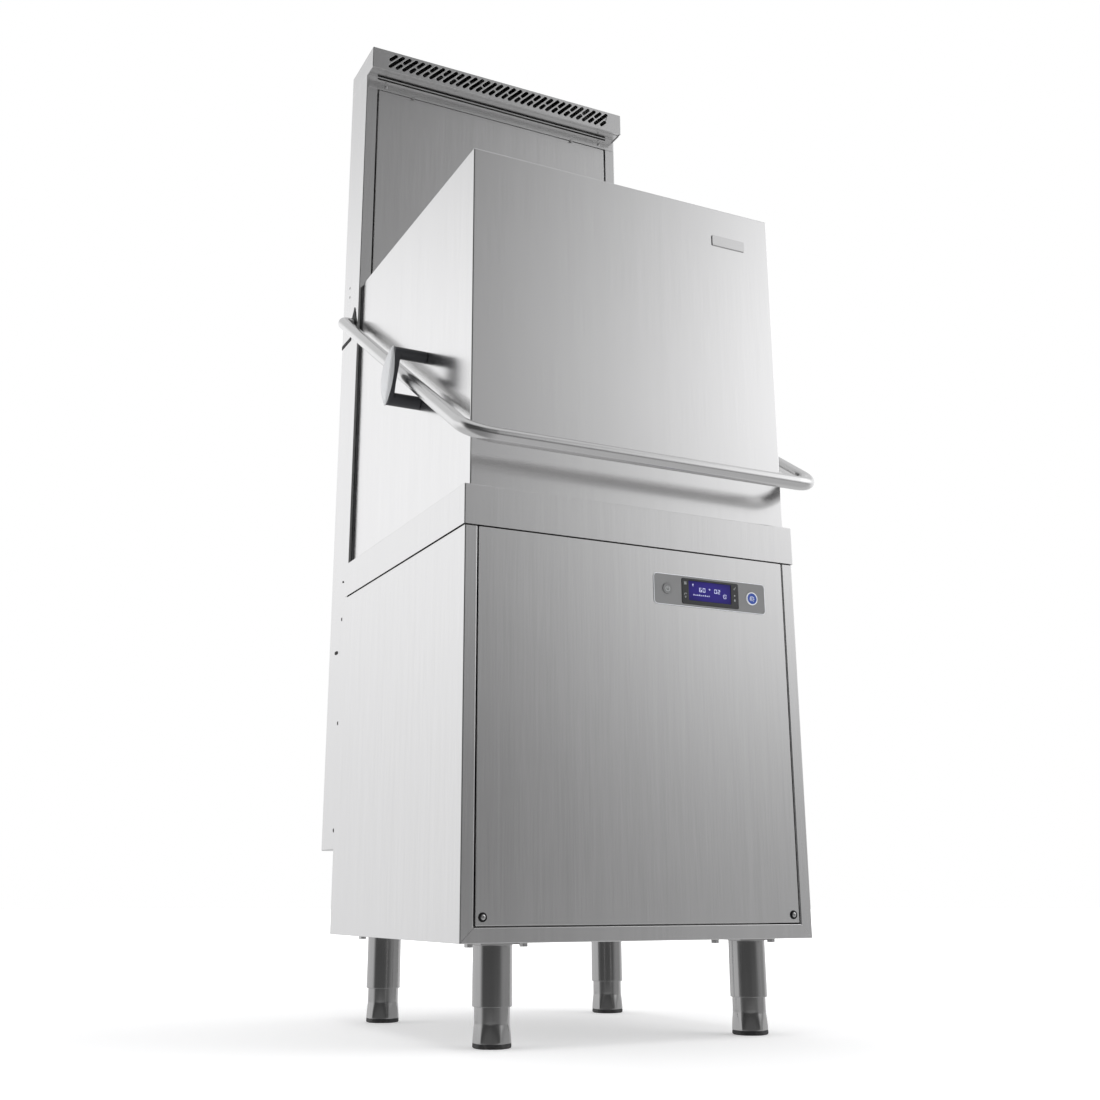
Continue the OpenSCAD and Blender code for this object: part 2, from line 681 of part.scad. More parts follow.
module leg_sleeves() color(steel_dark) at_legs() difference() {
    union() {
        rod_z(0, 0, [sleeve_end, cabinet_bottom - 3 + tiny], sleeve_d / 2);
        block([-34, 34], [-34, 34], [cabinet_bottom - 3, cabinet_bottom]);
    }
    rod_z(0, 0, [sleeve_end - 1, 128], sleeve_d / 2 - 2.7);
    rod_z(0, 0, [120, 145], 12.3);
}

module foot(x, y) color(steel_dark) translate([x, y, 0]) {
    rod_z(0, 0, [30, 118], sleeve_d / 2 - 3);
    rod_z(0, 0, [110, 142], 12);
    intersection() {
        translate([0, 0, 6]) cylinder(h = 32, r1 = 29.5, r2 = sleeve_d / 2 - 3);
        translate([0, 0, 6]) cylinder(h = 32, r = 31, $fn = 6);
    }
    intersection() {
        rod_z(0, 0, [0, 7], 29.5);
        translate([0, 0, -1]) cylinder(h = 9, r = 31.5, $fn = 6);
    }
}

// ---- hood ----

module hood_shell() color(steel) {
    y = [hood_front, hood_rear];
    side_in = hood_half - sheet;
    difference() {
        block([-hood_half, hood_half], y, [hood_bottom, hood_top]);
        block([-side_in, side_in], [y[0] + sheet, y[1] + 1], [hood_bottom - 1, hood_top - sheet]);
    }
    both_sides() block([275, side_in + tiny], [y[1] - sheet, y[1]], [hood_bottom, hood_top - sheet + tiny]);
    block([-275 - tiny, 275 + tiny], [y[1] - sheet, y[1]], [hood_top - 30, hood_top - sheet + tiny]);
    hem_z = [hood_bottom, hood_bottom + sheet];
    block([-side_in - tiny, side_in + tiny], [y[0] + sheet - tiny, y[0] + 9], hem_z);
    both_sides() block([side_in - 8, side_in + tiny], [y[0] + sheet, y[1] - sheet], hem_z);
}

carriage_x = [flange_in - 3, flange_in - 1];

module hood_carriages() color(steel_dark) both_sides() {
    block(carriage_x, [hood_rear, rail_y + 14], [1010, 1430]);
    block([276, carriage_x[1]], [hood_rear, hood_rear + 2], [1010, 1430]);
    for (z = [1010, 1380]) difference() {
        block([rail_x - 13, carriage_x[0] + tiny], [rail_y - 14, rail_y + 14], [z, z + 50]);
        rod_z(rail_x, rail_y, [z - 1, z + 51], rail_r + running);
    }
}

// turns a child outline so that its Y axis leans forward with the yoke
module at_yoke() translate([yoke_y, yoke_z]) rotate([0, 0, yoke_lean]) children();

// one arm of a yoke from its middle line and thickness
module yoke_arm(arm) translate([0, arm[0]]) stadium(yoke_depth, arm[1]);

module yokes() color(charcoal) both_sides() {
    slab_yz(hood_half, yoke_out - hood_half + tiny) at_yoke() {
        yoke_arm(yoke_arm_top);
        yoke_arm(yoke_arm_low);
    }
    slab_yz(yoke_out, yoke_wall) at_yoke() {
        translate([-yoke_depth / 2, yoke_arm_low[0]])
            square([yoke_depth, yoke_arm_top[0] - yoke_arm_low[0]]);
        yoke_arm(yoke_arm_top);
        yoke_arm(yoke_arm_low);
    }
}

cap_h = 108;
cap_w = 46;
cap_r = (cap_h * cap_h + cap_w * cap_w) / (4 * cap_w);
cap_rise = 9;
cap_fall = 7;
cap_ball = (cap_h * cap_h / 4 + cap_fall * cap_fall) / (2 * cap_fall);

// lens-shaped cap with a crown
module yoke_caps() color(grey_plastic) both_sides() intersection() {
    slab_yz(yoke_out + yoke_wall, cap_rise + 1) at_yoke() intersection() {
        translate([cap_r - cap_w / 2, 0]) circle(cap_r, $fn = 96);
        translate([cap_w / 2 - cap_r, 0]) circle(cap_r, $fn = 96);
    }
    translate([yoke_out + yoke_wall + cap_rise - cap_ball, yoke_y, yoke_z]) sphere(cap_ball, $fn = 192);
}

module badge_plate() color(grey_plastic)
    slab_xz(hood_front - 2, 2) rounded([178.7, 250.3], [1383.5, 1404], 2);

// ---- handle ----

// planar tube path, X across and Y from the front bar back to the pivot
module handle_arm(r) {
    translate([arm_x - corner_r, corner_r, 0]) rotate([0, 0, -90]) rotate_extrude(angle = 90)
        translate([corner_r, 0]) circle(r);
    rod_y(arm_x, [corner_r, handle_len - rear_bend], 0, r);
    translate([arm_x - rear_bend, handle_len - rear_bend, 0]) rotate_extrude(angle = 90)
        translate([rear_bend, 0]) circle(r);
    rod_x([crank_x + crank_t, arm_x - rear_bend], handle_len, 0, r);
}

module handle_tube(r) {
    rod_x([corner_r - arm_x, arm_x - corner_r], 0, 0, r);
    both_sides() handle_arm(r);
}

module handle_bar() color(steel) translate([0, bar_y, bar_z]) rotate([handle_tilt, 0, 0]) difference() {
    handle_tube(tube_r);
    handle_tube(tube_r - sheet);
}

module handle_cranks() color(steel_dark) both_sides() {
    slab_yz(crank_x, crank_t) translate([pivot_y, pivot_z]) rotate([0, 0, handle_tilt]) {
        circle(17);
        translate([0, -9]) square([crank_len, 18]);
        translate([crank_len, 0]) circle(9);
    }
    rod_x([crank_x - 8, crank_x + tiny], crank_y, crank_z, 4);
}

place() mirror([1, 0, 0]) side_panel();  // side_panel_left
place() side_panel();  // side_panel_right
place() bottom_pan();
place() front_panel();
place() panel_screws();
place() rear_cover();
place() rim_frame();
place() wash_tank();
place() tank_strainer();
place() tank_heater();
place() rack_guide();
place() lower_manifold();
place() wash_riser();
place() back_panel();
place() mirror([1, 0, 0]) column();  // column_left
place() column();  // column_right
place() guide_rails();
place() pivot_bushes();
place() springs();
place() tower_rear_cover();
place() canopy();
place() canopy_floor();
place() canopy_strip();
place() tower_screws();
place() heat_exchanger();
place() fan_housing();
place() fan_motor();
place() control_fascia();
place() display_bezel();
place() display_screen();
place() control_box();
place() wash_pump();
place() boiler();
place() drain_pump();
place() dosing_pumps();
place() inlet_valve();
place() cable_gland();
place() pipework();
place() leg_sleeves();
place() cabinet_bolts();
place() hood_shell();
place() hood_carriages();
place() yokes();
place() yoke_caps();
place() badge_plate();
place() handle_bar();
place() handle_cranks();
place() wash_arm(upper_hub, false);  // upper_wash_arm
place() rinse_arm(upper_rinse, 60);  // upper_rinse_arm
place() wash_arm(lower_hub, true);  // lower_wash_arm
place() rinse_arm(lower_rinse, 60);  // lower_rinse_arm
place() fan_rotor();
place() pump_impeller();
place() button(power_at, power_r);  // power_button
place() button(start_at, start_r);  // start_button
place() foot(-leg_x, leg_front);  // foot_front_left
place() foot(leg_x, leg_front);  // foot_front_right
place() foot(-leg_x, leg_rear);  // foot_rear_left
place() foot(leg_x, leg_rear);  // foot_rear_right
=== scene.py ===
import json
import math

import bmesh
import bpy
from mathutils import Matrix, Vector
from mathutils.geometry import delaunay_2d_cdt
from mathutils.kdtree import KDTree


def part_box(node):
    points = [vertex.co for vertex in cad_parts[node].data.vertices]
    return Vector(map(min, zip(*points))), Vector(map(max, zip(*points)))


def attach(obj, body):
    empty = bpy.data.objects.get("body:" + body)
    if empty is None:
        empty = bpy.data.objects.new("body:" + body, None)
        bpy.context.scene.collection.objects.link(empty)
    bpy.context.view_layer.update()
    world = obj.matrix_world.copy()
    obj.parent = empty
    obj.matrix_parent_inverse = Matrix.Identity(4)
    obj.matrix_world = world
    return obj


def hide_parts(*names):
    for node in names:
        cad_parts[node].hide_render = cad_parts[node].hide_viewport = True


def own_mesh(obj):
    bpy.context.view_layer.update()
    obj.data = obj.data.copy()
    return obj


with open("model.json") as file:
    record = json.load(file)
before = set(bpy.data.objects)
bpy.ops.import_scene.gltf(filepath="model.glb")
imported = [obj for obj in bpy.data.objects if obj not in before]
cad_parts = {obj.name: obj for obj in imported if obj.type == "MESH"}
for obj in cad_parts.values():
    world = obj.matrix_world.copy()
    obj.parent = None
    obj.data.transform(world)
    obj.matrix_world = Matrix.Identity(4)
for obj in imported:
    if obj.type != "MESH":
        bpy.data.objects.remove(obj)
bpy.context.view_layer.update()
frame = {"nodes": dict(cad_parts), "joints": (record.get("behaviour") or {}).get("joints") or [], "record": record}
record = frame["record"]
BODY_OF = {n: b for b, members in record["behaviour"]["bodies"].items() for n in members}
SLOT_OF = {s["node"]: s["material_slot"] for s in record["subparts"]}
scene = bpy.context.scene
MM = 0.001


# ---------------------------------------------------------------- camera

def make_camera():
    data = bpy.data.cameras.new("camera")
    data.sensor_width = 36
    data.lens = 43.387
    data.shift_x = 0.01638
    data.shift_y = -0.03362
    data.clip_start = 0.05
    data.clip_end = 60
    yaw, pitch, roll = (math.radians(a) for a in (25.8795, 16.1569, -0.0663))
    ahead = Vector((math.sin(yaw) * math.cos(pitch), math.cos(yaw) * math.cos(pitch), math.sin(pitch)))
    right = Vector((math.cos(yaw), -math.sin(yaw), 0))
    up = right.cross(ahead)
    right, up = (right * math.cos(roll) + up * math.sin(roll), up * math.cos(roll) - right * math.sin(roll))
    ob = bpy.data.objects.new("camera", data)
    turn = Matrix((right, up, -ahead)).transposed().to_4x4()
    ob.matrix_world = Matrix.Translation((-1.10012, -2.17358, 0.21537)) @ turn
    scene.collection.objects.link(ob)
    scene.camera = ob


# ---------------------------------------------------------------- node helpers

class Shader:
    """A material's node tree, with short calls for the nodes used here."""

    def __init__(self, name):
        self.mat = bpy.data.materials.new(name)
        self.mat.use_nodes = True
        self.nt = self.mat.node_tree
        self.bsdf = self.nt.nodes["Principled BSDF"]
        self.coord = self.node("ShaderNodeTexCoord")

    def node(self, kind, **values):
        n = self.nt.nodes.new(kind)
        for k, v in values.items():
            setattr(n, k, v)
        return n

    def link(self, a, b):
        self.nt.links.new(a, b)

    def put(self, socket, value):
        if isinstance(value, bpy.types.NodeSocket):
            self.link(value, socket)
        else:
            socket.default_value = value

    def mapped(self, scale, offset=(0, 0, 0), turn=(0, 0, 0)):
        m = self.node("ShaderNodeMapping")
        self.link(self.coord.outputs["Object"], m.inputs["Vector"])
        m.inputs["Scale"].default_value = scale
        m.inputs["Location"].default_value = offset
        m.inputs["Rotation"].default_value = turn
        return m.outputs["Vector"]

    def noise(self, vector, scale=1.0, detail=2.0, rough=0.5, warp=0.0):
        n = self.node("ShaderNodeTexNoise")
        self.link(vector, n.inputs["Vector"])
        n.inputs["Scale"].default_value = scale
        n.inputs["Detail"].default_value = detail
        n.inputs["Roughness"].default_value = rough
        n.inputs["Distortion"].default_value = warp
        return n.outputs["Fac"]

    def cells(self, vector, scale, feature="F1"):
        n = self.node("ShaderNodeTexVoronoi", feature=feature)
        self.link(vector, n.inputs["Vector"])
        n.inputs["Scale"].default_value = scale
        return n.outputs["Distance"]

    def math(self, op, a, b=0.0, c=0.0):
        n = self.node("ShaderNodeMath", operation=op)
        self.put(n.inputs[0], a)
        self.put(n.inputs[1], b)
        self.put(n.inputs[2], c)
        return n.outputs[0]

    def ramp(self, value, lo, hi, a, b, smooth=True):
        n = self.node("ShaderNodeMapRange")
        if smooth:
            n.interpolation_type = "SMOOTHSTEP"
        self.put(n.inputs["Value"], value)
        n.inputs["From Min"].default_value = lo
        n.inputs["From Max"].default_value = hi
        n.inputs["To Min"].default_value = a
        n.inputs["To Max"].default_value = b
        return n.outputs["Result"]

    def pick(self, factor, a, b):
        n = self.node("ShaderNodeMix", data_type="FLOAT")
        self.put(n.inputs[0], factor)
        self.put(n.inputs[2], a)
        self.put(n.inputs[3], b)
        return n.outputs[0]

    def tint(self, factor, a, b):
        n = self.node("ShaderNodeMix", data_type="RGBA")
        self.put(n.inputs[0], factor)
        for socket, value in ((n.inputs[6], a), (n.inputs[7], b)):
            self.put(socket, value if isinstance(value, bpy.types.NodeSocket) else (*value, 1.0))
        return n.outputs[2]

    def height(self, value, distance, strength=1.0, under=None):
        n = self.node("ShaderNodeBump")
        n.inputs["Distance"].default_value = distance
        n.inputs["Strength"].default_value = strength
        self.link(value, n.inputs["Height"])
        if under is not None:
            self.link(under, n.inputs["Normal"])
        return n.outputs["Normal"]

    def finish(self, color=None, rough=None, normal=None, **constants):
        ins = self.bsdf.inputs
        if color is not None:
            self.put(ins["Base Color"], color)
        if rough is not None:
            self.put(ins["Roughness"], rough)
        if normal is not None:
            self.link(normal, ins["Normal"])
        for k, v in constants.items():
            ins[k.replace("_", " ")].default_value = v
        return self.mat


STEEL_WARMTH = 0.002  # how far red lies above, and blue below, the grey of the steel


def steel(name, tone, rough, grain=1.0, along="z", smear=1.0):
    """Ground stainless sheet: fine lines along one axis, faint streaks, hand-wiped patches in the gloss."""
    s = Shader(name)
    long_axis = {"x": (9, 620, 620), "y": (620, 9, 620), "z": (620, 620, 9)}[along]
    streak_axis = {"x": (1.1, 70, 70), "y": (70, 1.1, 70), "z": (70, 70, 1.1)}[along]
    split = s.node("ShaderNodeSeparateXYZ")
    s.link(s.coord.outputs["Normal"], split.inputs[0])
    end_on = s.math("ABSOLUTE", split.outputs["XYZ".index(along.upper())])
    end_on = s.ramp(end_on, 0.6, 0.8, 0.0, 1.0)
    other = (9, 620, 620) if along != "x" else (620, 620, 9)
    fine = s.pick(end_on, *(s.noise(s.mapped(scale), 1.0, 4.0, 0.65) for scale in (long_axis, other)))
    streak = s.noise(s.mapped(streak_axis, (3.1, 1.7, 0.4)), 1.0, 3.0, 0.6)
    cloud = s.noise(s.mapped((1, 1, 1), (7.3, 2.2, 5.1)), 2.6, 5.0, 0.62, 0.8)
    wipe = s.noise(s.mapped((9, 9, 3.2), (1.3, 9.2, 4.4), (0.3, 0.4, 0.2)), 1.0, 6.0, 0.7, 1.6)
    wipe = s.ramp(wipe, 0.52, 0.78, 0.0, 1.0)
    speck = s.ramp(s.cells(s.mapped((1, 1, 1)), 240.0), 0.0, 0.06, 1.0, 0.0)
    speck = s.math("MULTIPLY", speck, s.ramp(cloud, 0.5, 0.72, 0.0, 1.0))
    shade = s.math("MULTIPLY_ADD", s.math("SUBTRACT", fine, 0.5), 0.12 * grain, tone)
    shade = s.math("MULTIPLY_ADD", s.math("SUBTRACT", streak, 0.5), 0.05 * grain, shade)
    shade = s.math("MULTIPLY_ADD", s.math("SUBTRACT", cloud, 0.5), 0.035 * smear, shade)
    shade = s.math("MULTIPLY_ADD", speck, -0.10 * smear, shade)
    comb = s.node("ShaderNodeCombineColor")
    s.link(s.math("ADD", shade, STEEL_WARMTH), comb.inputs[0])
    s.link(shade, comb.inputs[1])
    s.link(s.math("SUBTRACT", shade, STEEL_WARMTH), comb.inputs[2])
    gloss = s.math("MULTIPLY_ADD", s.math("SUBTRACT", fine, 0.5), 0.05 * grain, rough)
    gloss = s.math("MULTIPLY_ADD", s.math("SUBTRACT", streak, 0.5), 0.025 * grain, gloss)
    gloss = s.math("MULTIPLY_ADD", s.math("SUBTRACT", cloud, 0.5), 0.05 * smear, gloss)
    gloss = s.math("MULTIPLY_ADD", wipe, 0.010 * smear, gloss)
    gloss = s.math("MAXIMUM", gloss, 0.06)
    bump = s.height(fine, 0.00004, 0.20 * grain)
    bump = s.height(s.noise(s.mapped((1, 1, 1), (2, 2, 2)), 3.2, 1.0), 0.0012, 0.10, bump)
    return s.finish(comb.outputs[0], gloss, bump, Metallic=1.0)


PLASTIC_GRAIN = 1500.0  # spark-eroded pits per metre


def plastic(name, color, rough, mottle=0.05, clear=0.0, wear=0.5, spec=0.5):
    """Moulded plastic: spark-eroded grain, faint flow marks, and rubbed patches."""
    s = Shader(name)
    v = s.mapped((1, 1, 1))
    pores = s.cells(v, PLASTIC_GRAIN)
    fine = s.noise(v, PLASTIC_GRAIN * 0.6, 3.0, 0.6)
    flow = s.noise(s.mapped((1, 1, 0.35), (4, 1, 2)), 26.0, 5.0, 0.6, 1.1)
    rubbed = s.ramp(s.noise(s.mapped((1, 1, 1), (8, 3, 1)), 42.0, 6.0, 0.7, 0.4), 0.55, 0.8, 0.0, 1.0)
    scratch = s.noise(s.mapped((40, 700, 60), (0, 0, 0), (0.5, 0.9, 0.3)), 1.0, 3.0, 0.5)
    scratch = s.ramp(scratch, 0.66, 0.72, 0.0, 1.0)
    dark = tuple(c * (1 - mottle * 2) for c in color)
    light = tuple(min(1.0, c * (1 + mottle * 2) + 0.01 * mottle) for c in color)
    base = s.tint(flow, dark, light)
    worn = tuple(min(1.0, c * 1.12 + 0.015) for c in color)
    base = s.tint(s.math("MULTIPLY", rubbed, 0.35 * wear), base, worn)
    gloss = s.math("MULTIPLY_ADD", s.math("SUBTRACT", flow, 0.5), 0.10, rough)
    gloss = s.math("MULTIPLY_ADD", rubbed, -0.09 * wear, gloss)
    gloss = s.math("MULTIPLY_ADD", scratch, 0.08 * wear, gloss)
    gloss = s.math("MAXIMUM", gloss, 0.05)
    bump = s.height(s.math("ADD", pores, fine), 0.00006, 0.6)
    bump = s.height(flow, 0.0002, 0.15, bump)
    return s.finish(base, gloss, bump, Coat_Weight=clear, Coat_Roughness=0.08, Specular_IOR_Level=spec)


def rubber(name, color):
    """Hose rubber: wrapped-cloth ribs under a dusty bloom."""
    s = Shader(name)
    v = s.mapped((1, 1, 1))
    bloom = s.noise(v, 34.0, 6.0, 0.7, 0.6)
    ribs = s.noise(s.mapped((320, 320, 320)), 1.0, 2.0)
    base = s.tint(s.ramp(bloom, 0.35, 0.75, 0.0, 1.0), color, tuple(c * 2.4 + 0.012 for c in color))
    gloss = s.math("MULTIPLY_ADD", s.math("SUBTRACT", bloom, 0.5), 0.3, 0.62)
    return s.finish(base, gloss, s.height(ribs, 0.0003, 0.5), Specular_IOR_Level=0.4)


def copper(name):
    """Fins and tubes: bright copper with oxide blooms and a fine rolled grain."""
    s = Shader(name)
    oxide = s.noise(s.mapped((1, 1, 1)), 30.0, 6.0, 0.7, 0.7)
    rolled = s.noise(s.mapped((500, 12, 500)), 1.0, 3.0)
    base = s.tint(s.ramp(oxide, 0.4, 0.72, 0.0, 1.0), (0.82, 0.42, 0.26), (0.36, 0.17, 0.10))
    gloss = s.math("MULTIPLY_ADD", oxide, 0.35, 0.14)
    return s.finish(base, gloss, s.height(rolled, 0.00006, 0.4), Metallic=1.0)


def paint(name, color):
    """Stoved machine paint: orange peel, dust in the low spots."""
    s = Shader(name)
    v = s.mapped((1, 1, 1))
    peel = s.noise(v, 420.0, 2.0, 0.5)
    dust = s.noise(v, 18.0, 6.0, 0.68, 0.5)
    base = s.tint(s.ramp(dust, 0.45, 0.8, 0.0, 0.55), color, (0.32, 0.31, 0.29))
    gloss = s.math("MULTIPLY_ADD", dust, 0.35, 0.22)
    return s.finish(base, gloss, s.height(peel, 0.00012, 0.5), Coat_Weight=0.25, Coat_Roughness=0.2)


def heat_metal(name):
    """Heater sheath: straw and blue heat bands over scaled steel."""
    s = Shader(name)
    band = s.noise(s.mapped((3, 14, 3)), 1.0, 4.0, 0.6, 1.0)
    scale = s.noise(s.mapped((1, 1, 1)), 160.0, 5.0, 0.7)
    base = s.tint(s.ramp(band, 0.35, 0.65, 0.0, 1.0), (0.36, 0.30, 0.25), (0.24, 0.25, 0.31))
    base = s.tint(s.ramp(scale, 0.55, 0.7, 0.0, 0.6), base, (0.5, 0.48, 0.45))
    gloss = s.math("MULTIPLY_ADD", scale, 0.3, 0.3)
    return s.finish(base, gloss, s.height(scale, 0.0001, 0.6), Metallic=0.9)


def screen_glass(name):
    """Backlit display: deep blue, brighter in the middle, with a fine dot grid under clear glass."""
    s = Shader(name)
    lo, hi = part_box("display_screen")
    split = s.node("ShaderNodeSeparateXYZ")
    s.link(s.coord.outputs["Object"], split.inputs[0])
    across = s.ramp(split.outputs["X"], lo.x, hi.x, -1.0, 1.0, False)
    up = s.ramp(split.outputs["Z"], lo.z, hi.z, -1.0, 1.0, False)
    r2 = s.math("ADD", s.math("MULTIPLY", across, across), s.math("MULTIPLY", up, up))
    glow = s.ramp(r2, 0.0, 1.9, 1.0, 0.55)
    dots_x = s.math("FRACT", s.math("MULTIPLY", split.outputs["X"], 1600.0))
    dots_z = s.math("FRACT", s.math("MULTIPLY", split.outputs["Z"], 1600.0))
    grid = s.math("MULTIPLY", s.ramp(dots_x, 0.06, 0.2, 0.82, 1.0), s.ramp(dots_z, 0.06, 0.2, 0.82, 1.0))
    cloud = s.noise(s.mapped((1, 1, 1)), 60.0, 3.0)
    level = s.math("MULTIPLY", s.math("MULTIPLY", glow, grid), s.ramp(cloud, 0.2, 0.8, 0.94, 1.05))
    blue = s.tint(level, (0.002, 0.002, 0.02), (0.026, 0.018, 0.165))
    s.put(s.bsdf.inputs["Emission Color"], blue)
    gloss = s.ramp(s.noise(s.mapped((1, 1, 1)), 35.0, 5.0, 0.7), 0.3, 0.8, 0.10, 0.22)
    bump = s.height(cloud, 0.00005, 0.1)
    return s.finish(blue, gloss, bump, Emission_Strength=0.34, Specular_IOR_Level=0.2)


def ink(name, color, power):
    """Printed or backlit marks: a slightly uneven film with some emission, which is the backlight on the screen
    marks and a painted glow on the white marks.
    """
    s = Shader(name)
    uneven = s.noise(s.mapped((1, 1, 1)), 900.0, 3.0)
    base = s.tint(uneven, tuple(c * 0.85 for c in color), color)
    s.put(s.bsdf.inputs["Emission Color"], base)
    gloss = s.ramp(uneven, 0.2, 0.8, 0.35, 0.55)
    return s.finish(base, gloss, s.height(uneven, 0.00002, 0.4), Emission_Strength=power)


def foot_rubber(name):
    s = Shader(name)
    v = s.mapped((1, 1, 1))
    dust = s.noise(v, 70.0, 6.0, 0.7, 0.3)
    base = s.tint(s.ramp(dust, 0.4, 0.8, 0.0, 0.7), (0.022, 0.022, 0.024), (0.11, 0.105, 0.10))
    gloss = s.math("MULTIPLY_ADD", dust, 0.3, 0.45)
    return s.finish(base, gloss, s.height(s.noise(v, 900.0, 3.0), 0.00015, 0.5))


MATS = {
    "brushed_steel": steel("brushed_steel", 0.80, 0.25),
    "hood_steel": steel("hood_steel", 0.82, 0.19, grain=0.8),
    "tube_steel": steel("tube_steel", 0.76, 0.20, grain=0.6, along="y"),
    "leg_steel": steel("leg_steel", 0.45, 0.19, grain=0.9, smear=1.6),
    "inner_steel": steel("inner_steel", 0.60, 0.33, grain=0.7, smear=2.2),
    "fastener_steel": steel("fastener_steel", 0.66, 0.24, grain=0.5, smear=1.4),
    "black_plastic": plastic("black_plastic", (0.008, 0.008, 0.009), 0.52, spec=0.25),
    "charcoal_plastic": plastic("charcoal_plastic", (0.040, 0.041, 0.046), 0.40),
    "cap_plastic": plastic("cap_plastic", (0.60, 0.61, 0.62), 0.30, mottle=0.02),
    "fascia_plastic": plastic("fascia_plastic", (0.245, 0.246, 0.248), 0.46,
                              mottle=0.02, wear=0.4, spec=0.35),
    "bezel_plastic": plastic("bezel_plastic", (0.020, 0.021, 0.022), 0.16, mottle=0.04, clear=0.3, wear=0.7),
    "screen_blue": screen_glass("screen_blue"),
    "button_grey": plastic("button_grey", (0.215, 0.216, 0.218), 0.40, mottle=0.02, spec=0.35),
    "button_blue": plastic("button_blue", (0.030, 0.075, 0.36), 0.28, mottle=0.03, clear=0.2),
    "badge": steel("badge", 0.72, 0.24, grain=0.5, along="x", smear=0.6),
    "hose_rubber": rubber("hose_rubber", (0.014, 0.014, 0.015)),
    "copper_fins": copper("copper_fins"),
    "motor_paint": paint("motor_paint", (0.030, 0.036, 0.042)),
    "heater_metal": heat_metal("heater_metal"),
}
INK_LIGHT = ink("display_marks", (0.72, 0.76, 0.95), 0.55)
# White marks for the fascia border and the start button's ring and mark; their faint emission is a painted glow,
# not a lamp.
INK_WHITE_PAINTED_GLOW = ink("white_marks_painted_glow", (0.82, 0.84, 0.88), 0.12)
INK_GREY = ink("grey_marks", (0.50, 0.52, 0.52), 0.0)
DARK_SCREW = steel("dark_screw", 0.07, 0.36, grain=0.4, smear=1.0)
FOOT_RUBBER = foot_rubber("foot_rubber")


# ---------------------------------------------------------------- mesh helpers

def new_object(name, bm, *mats):
    mesh = bpy.data.meshes.new(name)
    bm.to_mesh(mesh)
    bm.free()
    for m in mats:
        mesh.materials.append(m)
    ob = bpy.data.objects.new(name, mesh)
    scene.collection.objects.link(ob)
    return ob


def outward(bm):
    bmesh.ops.recalc_face_normals(bm, faces=bm.faces)


def all_smooth(ob):
    for p in ob.data.polygons:
        p.use_smooth = True


def smooth(ob, angle=32.0):
    """Smooth faces, with a crease wherever the surface turns by more than the angle."""
    all_smooth(ob)
    ob.data.set_sharp_from_angle(angle=math.radians(angle))
    return ob


def place(ob, node):
    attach(ob, BODY_OF[node])
    return ob


def node_mesh(node):
    """A clean editable copy of a CAD node: welded, with its flat faces made whole."""
    src = frame["nodes"][node].data
    bm = bmesh.new()
    verts = [bm.verts.new(v.co) for v in src.vertices]
    for p in src.polygons:
        try:
            bm.faces.new([verts[i] for i in p.vertices])
        except ValueError:
            pass
    bmesh.ops.remove_doubles(bm, verts=bm.verts, dist=4e-6)
    bmesh.ops.dissolve_degenerate(bm, edges=bm.edges, dist=2e-6)
    bmesh.ops.dissolve_limit(bm, angle_limit=math.radians(0.4), verts=bm.verts, edges=bm.edges,
                             use_dissolve_boundaries=False)
    outward(bm)
    return bm


FOLD_ANGLE = 40.0       # degrees; an edge that turns by more is rounded
ROOM_SHARE = 0.4        # the part of a face's width that one rounded edge may take
SAMPLE_STEP = 0.0015    # metres between the points that stand for an edge in the search
RIM_WIDTH = 0.0025      # metres; a many-sided face narrower than this is a sheet's cut rim
FLAT_AREA = 0.004       # square metres; a face larger than this is always shaded flat
BENT_NORMAL = 0.927     # cosine of the largest bend a corner normal may have


def weight_edges(bm, width, angle):
    """Marks the sharp edges, each with as much rounding as the faces beside it have room for."""
    layer = bm.edges.layers.float.new("bevel_weight_edge")
    limit = math.radians(angle)
    sharp = [e for e in bm.edges
             if len(e.link_faces) == 2 and e.calc_length() > 1e-6 and e.calc_face_angle(0.0) >= limit]
    samples = []
    for e in sharp:
        a, b = e.verts[0].co, e.verts[1].co
        n = max(1, math.ceil((b - a).length / SAMPLE_STEP))
        samples += [(a.lerp(b, (i + 0.5) / n), e) for i in range(n)]
    tree = KDTree(len(samples))
    for i, (co, e) in enumerate(samples):
        tree.insert(co, i)
    tree.balance()
    for e in sharp:
        a, b = e.verts[0].co, e.verts[1].co
        d = (b - a).normalized()
        room = width
        for f in e.link_faces:
            reach = max(((v.co - a) - d * (v.co - a).dot(d)).length for v in f.verts)
            room = min(room, ROOM_SHARE * reach)
        # the opposite edge of a narrow strip, such as the end of a folded sheet
        for t in (0.5,) if (b - a).length < 0.01 else (0.1, 0.3, 0.5, 0.7, 0.9):
            at = a.lerp(b, t)
            for co, i, far in tree.find_range(at, width / ROOM_SHARE):
                other = samples[i][1]
                if far < 1e-7 or abs((co - at).dot(d)) > 0.6 * far or set(other.verts) & set(e.verts):
                    continue
                for f in set(other.link_faces) & set(e.link_faces):
                    # the cut rim of an open box stays sharp, as it does on folded sheet
                    is_rim = far < RIM_WIDTH and len(f.verts) > 6
                    room = 0 if is_rim else min(room, ROOM_SHARE * far)
        e[layer] = room / width


def fill_flat(points, normal):
    """Triangles that fill a flat outline, whatever its shape: (points, corner triples)."""
    mid = sum(points, Vector()) / len(points)
    u = normal.orthogonal().normalized()
    v = normal.cross(u)
    flat = [Vector(((p - mid).dot(u) / MM, (p - mid).dot(v) / MM)) for p in points]
    out, _, tris, origin, _, faces = delaunay_2d_cdt(flat, [], [list(range(len(flat)))], 1, 1e-4)
    spots = [points[o[0]] if o else mid + (u * c.x + v * c.y) * MM for c, o in zip(out, origin)]
    return spots, [t for t, f in zip(tris, faces) if f]


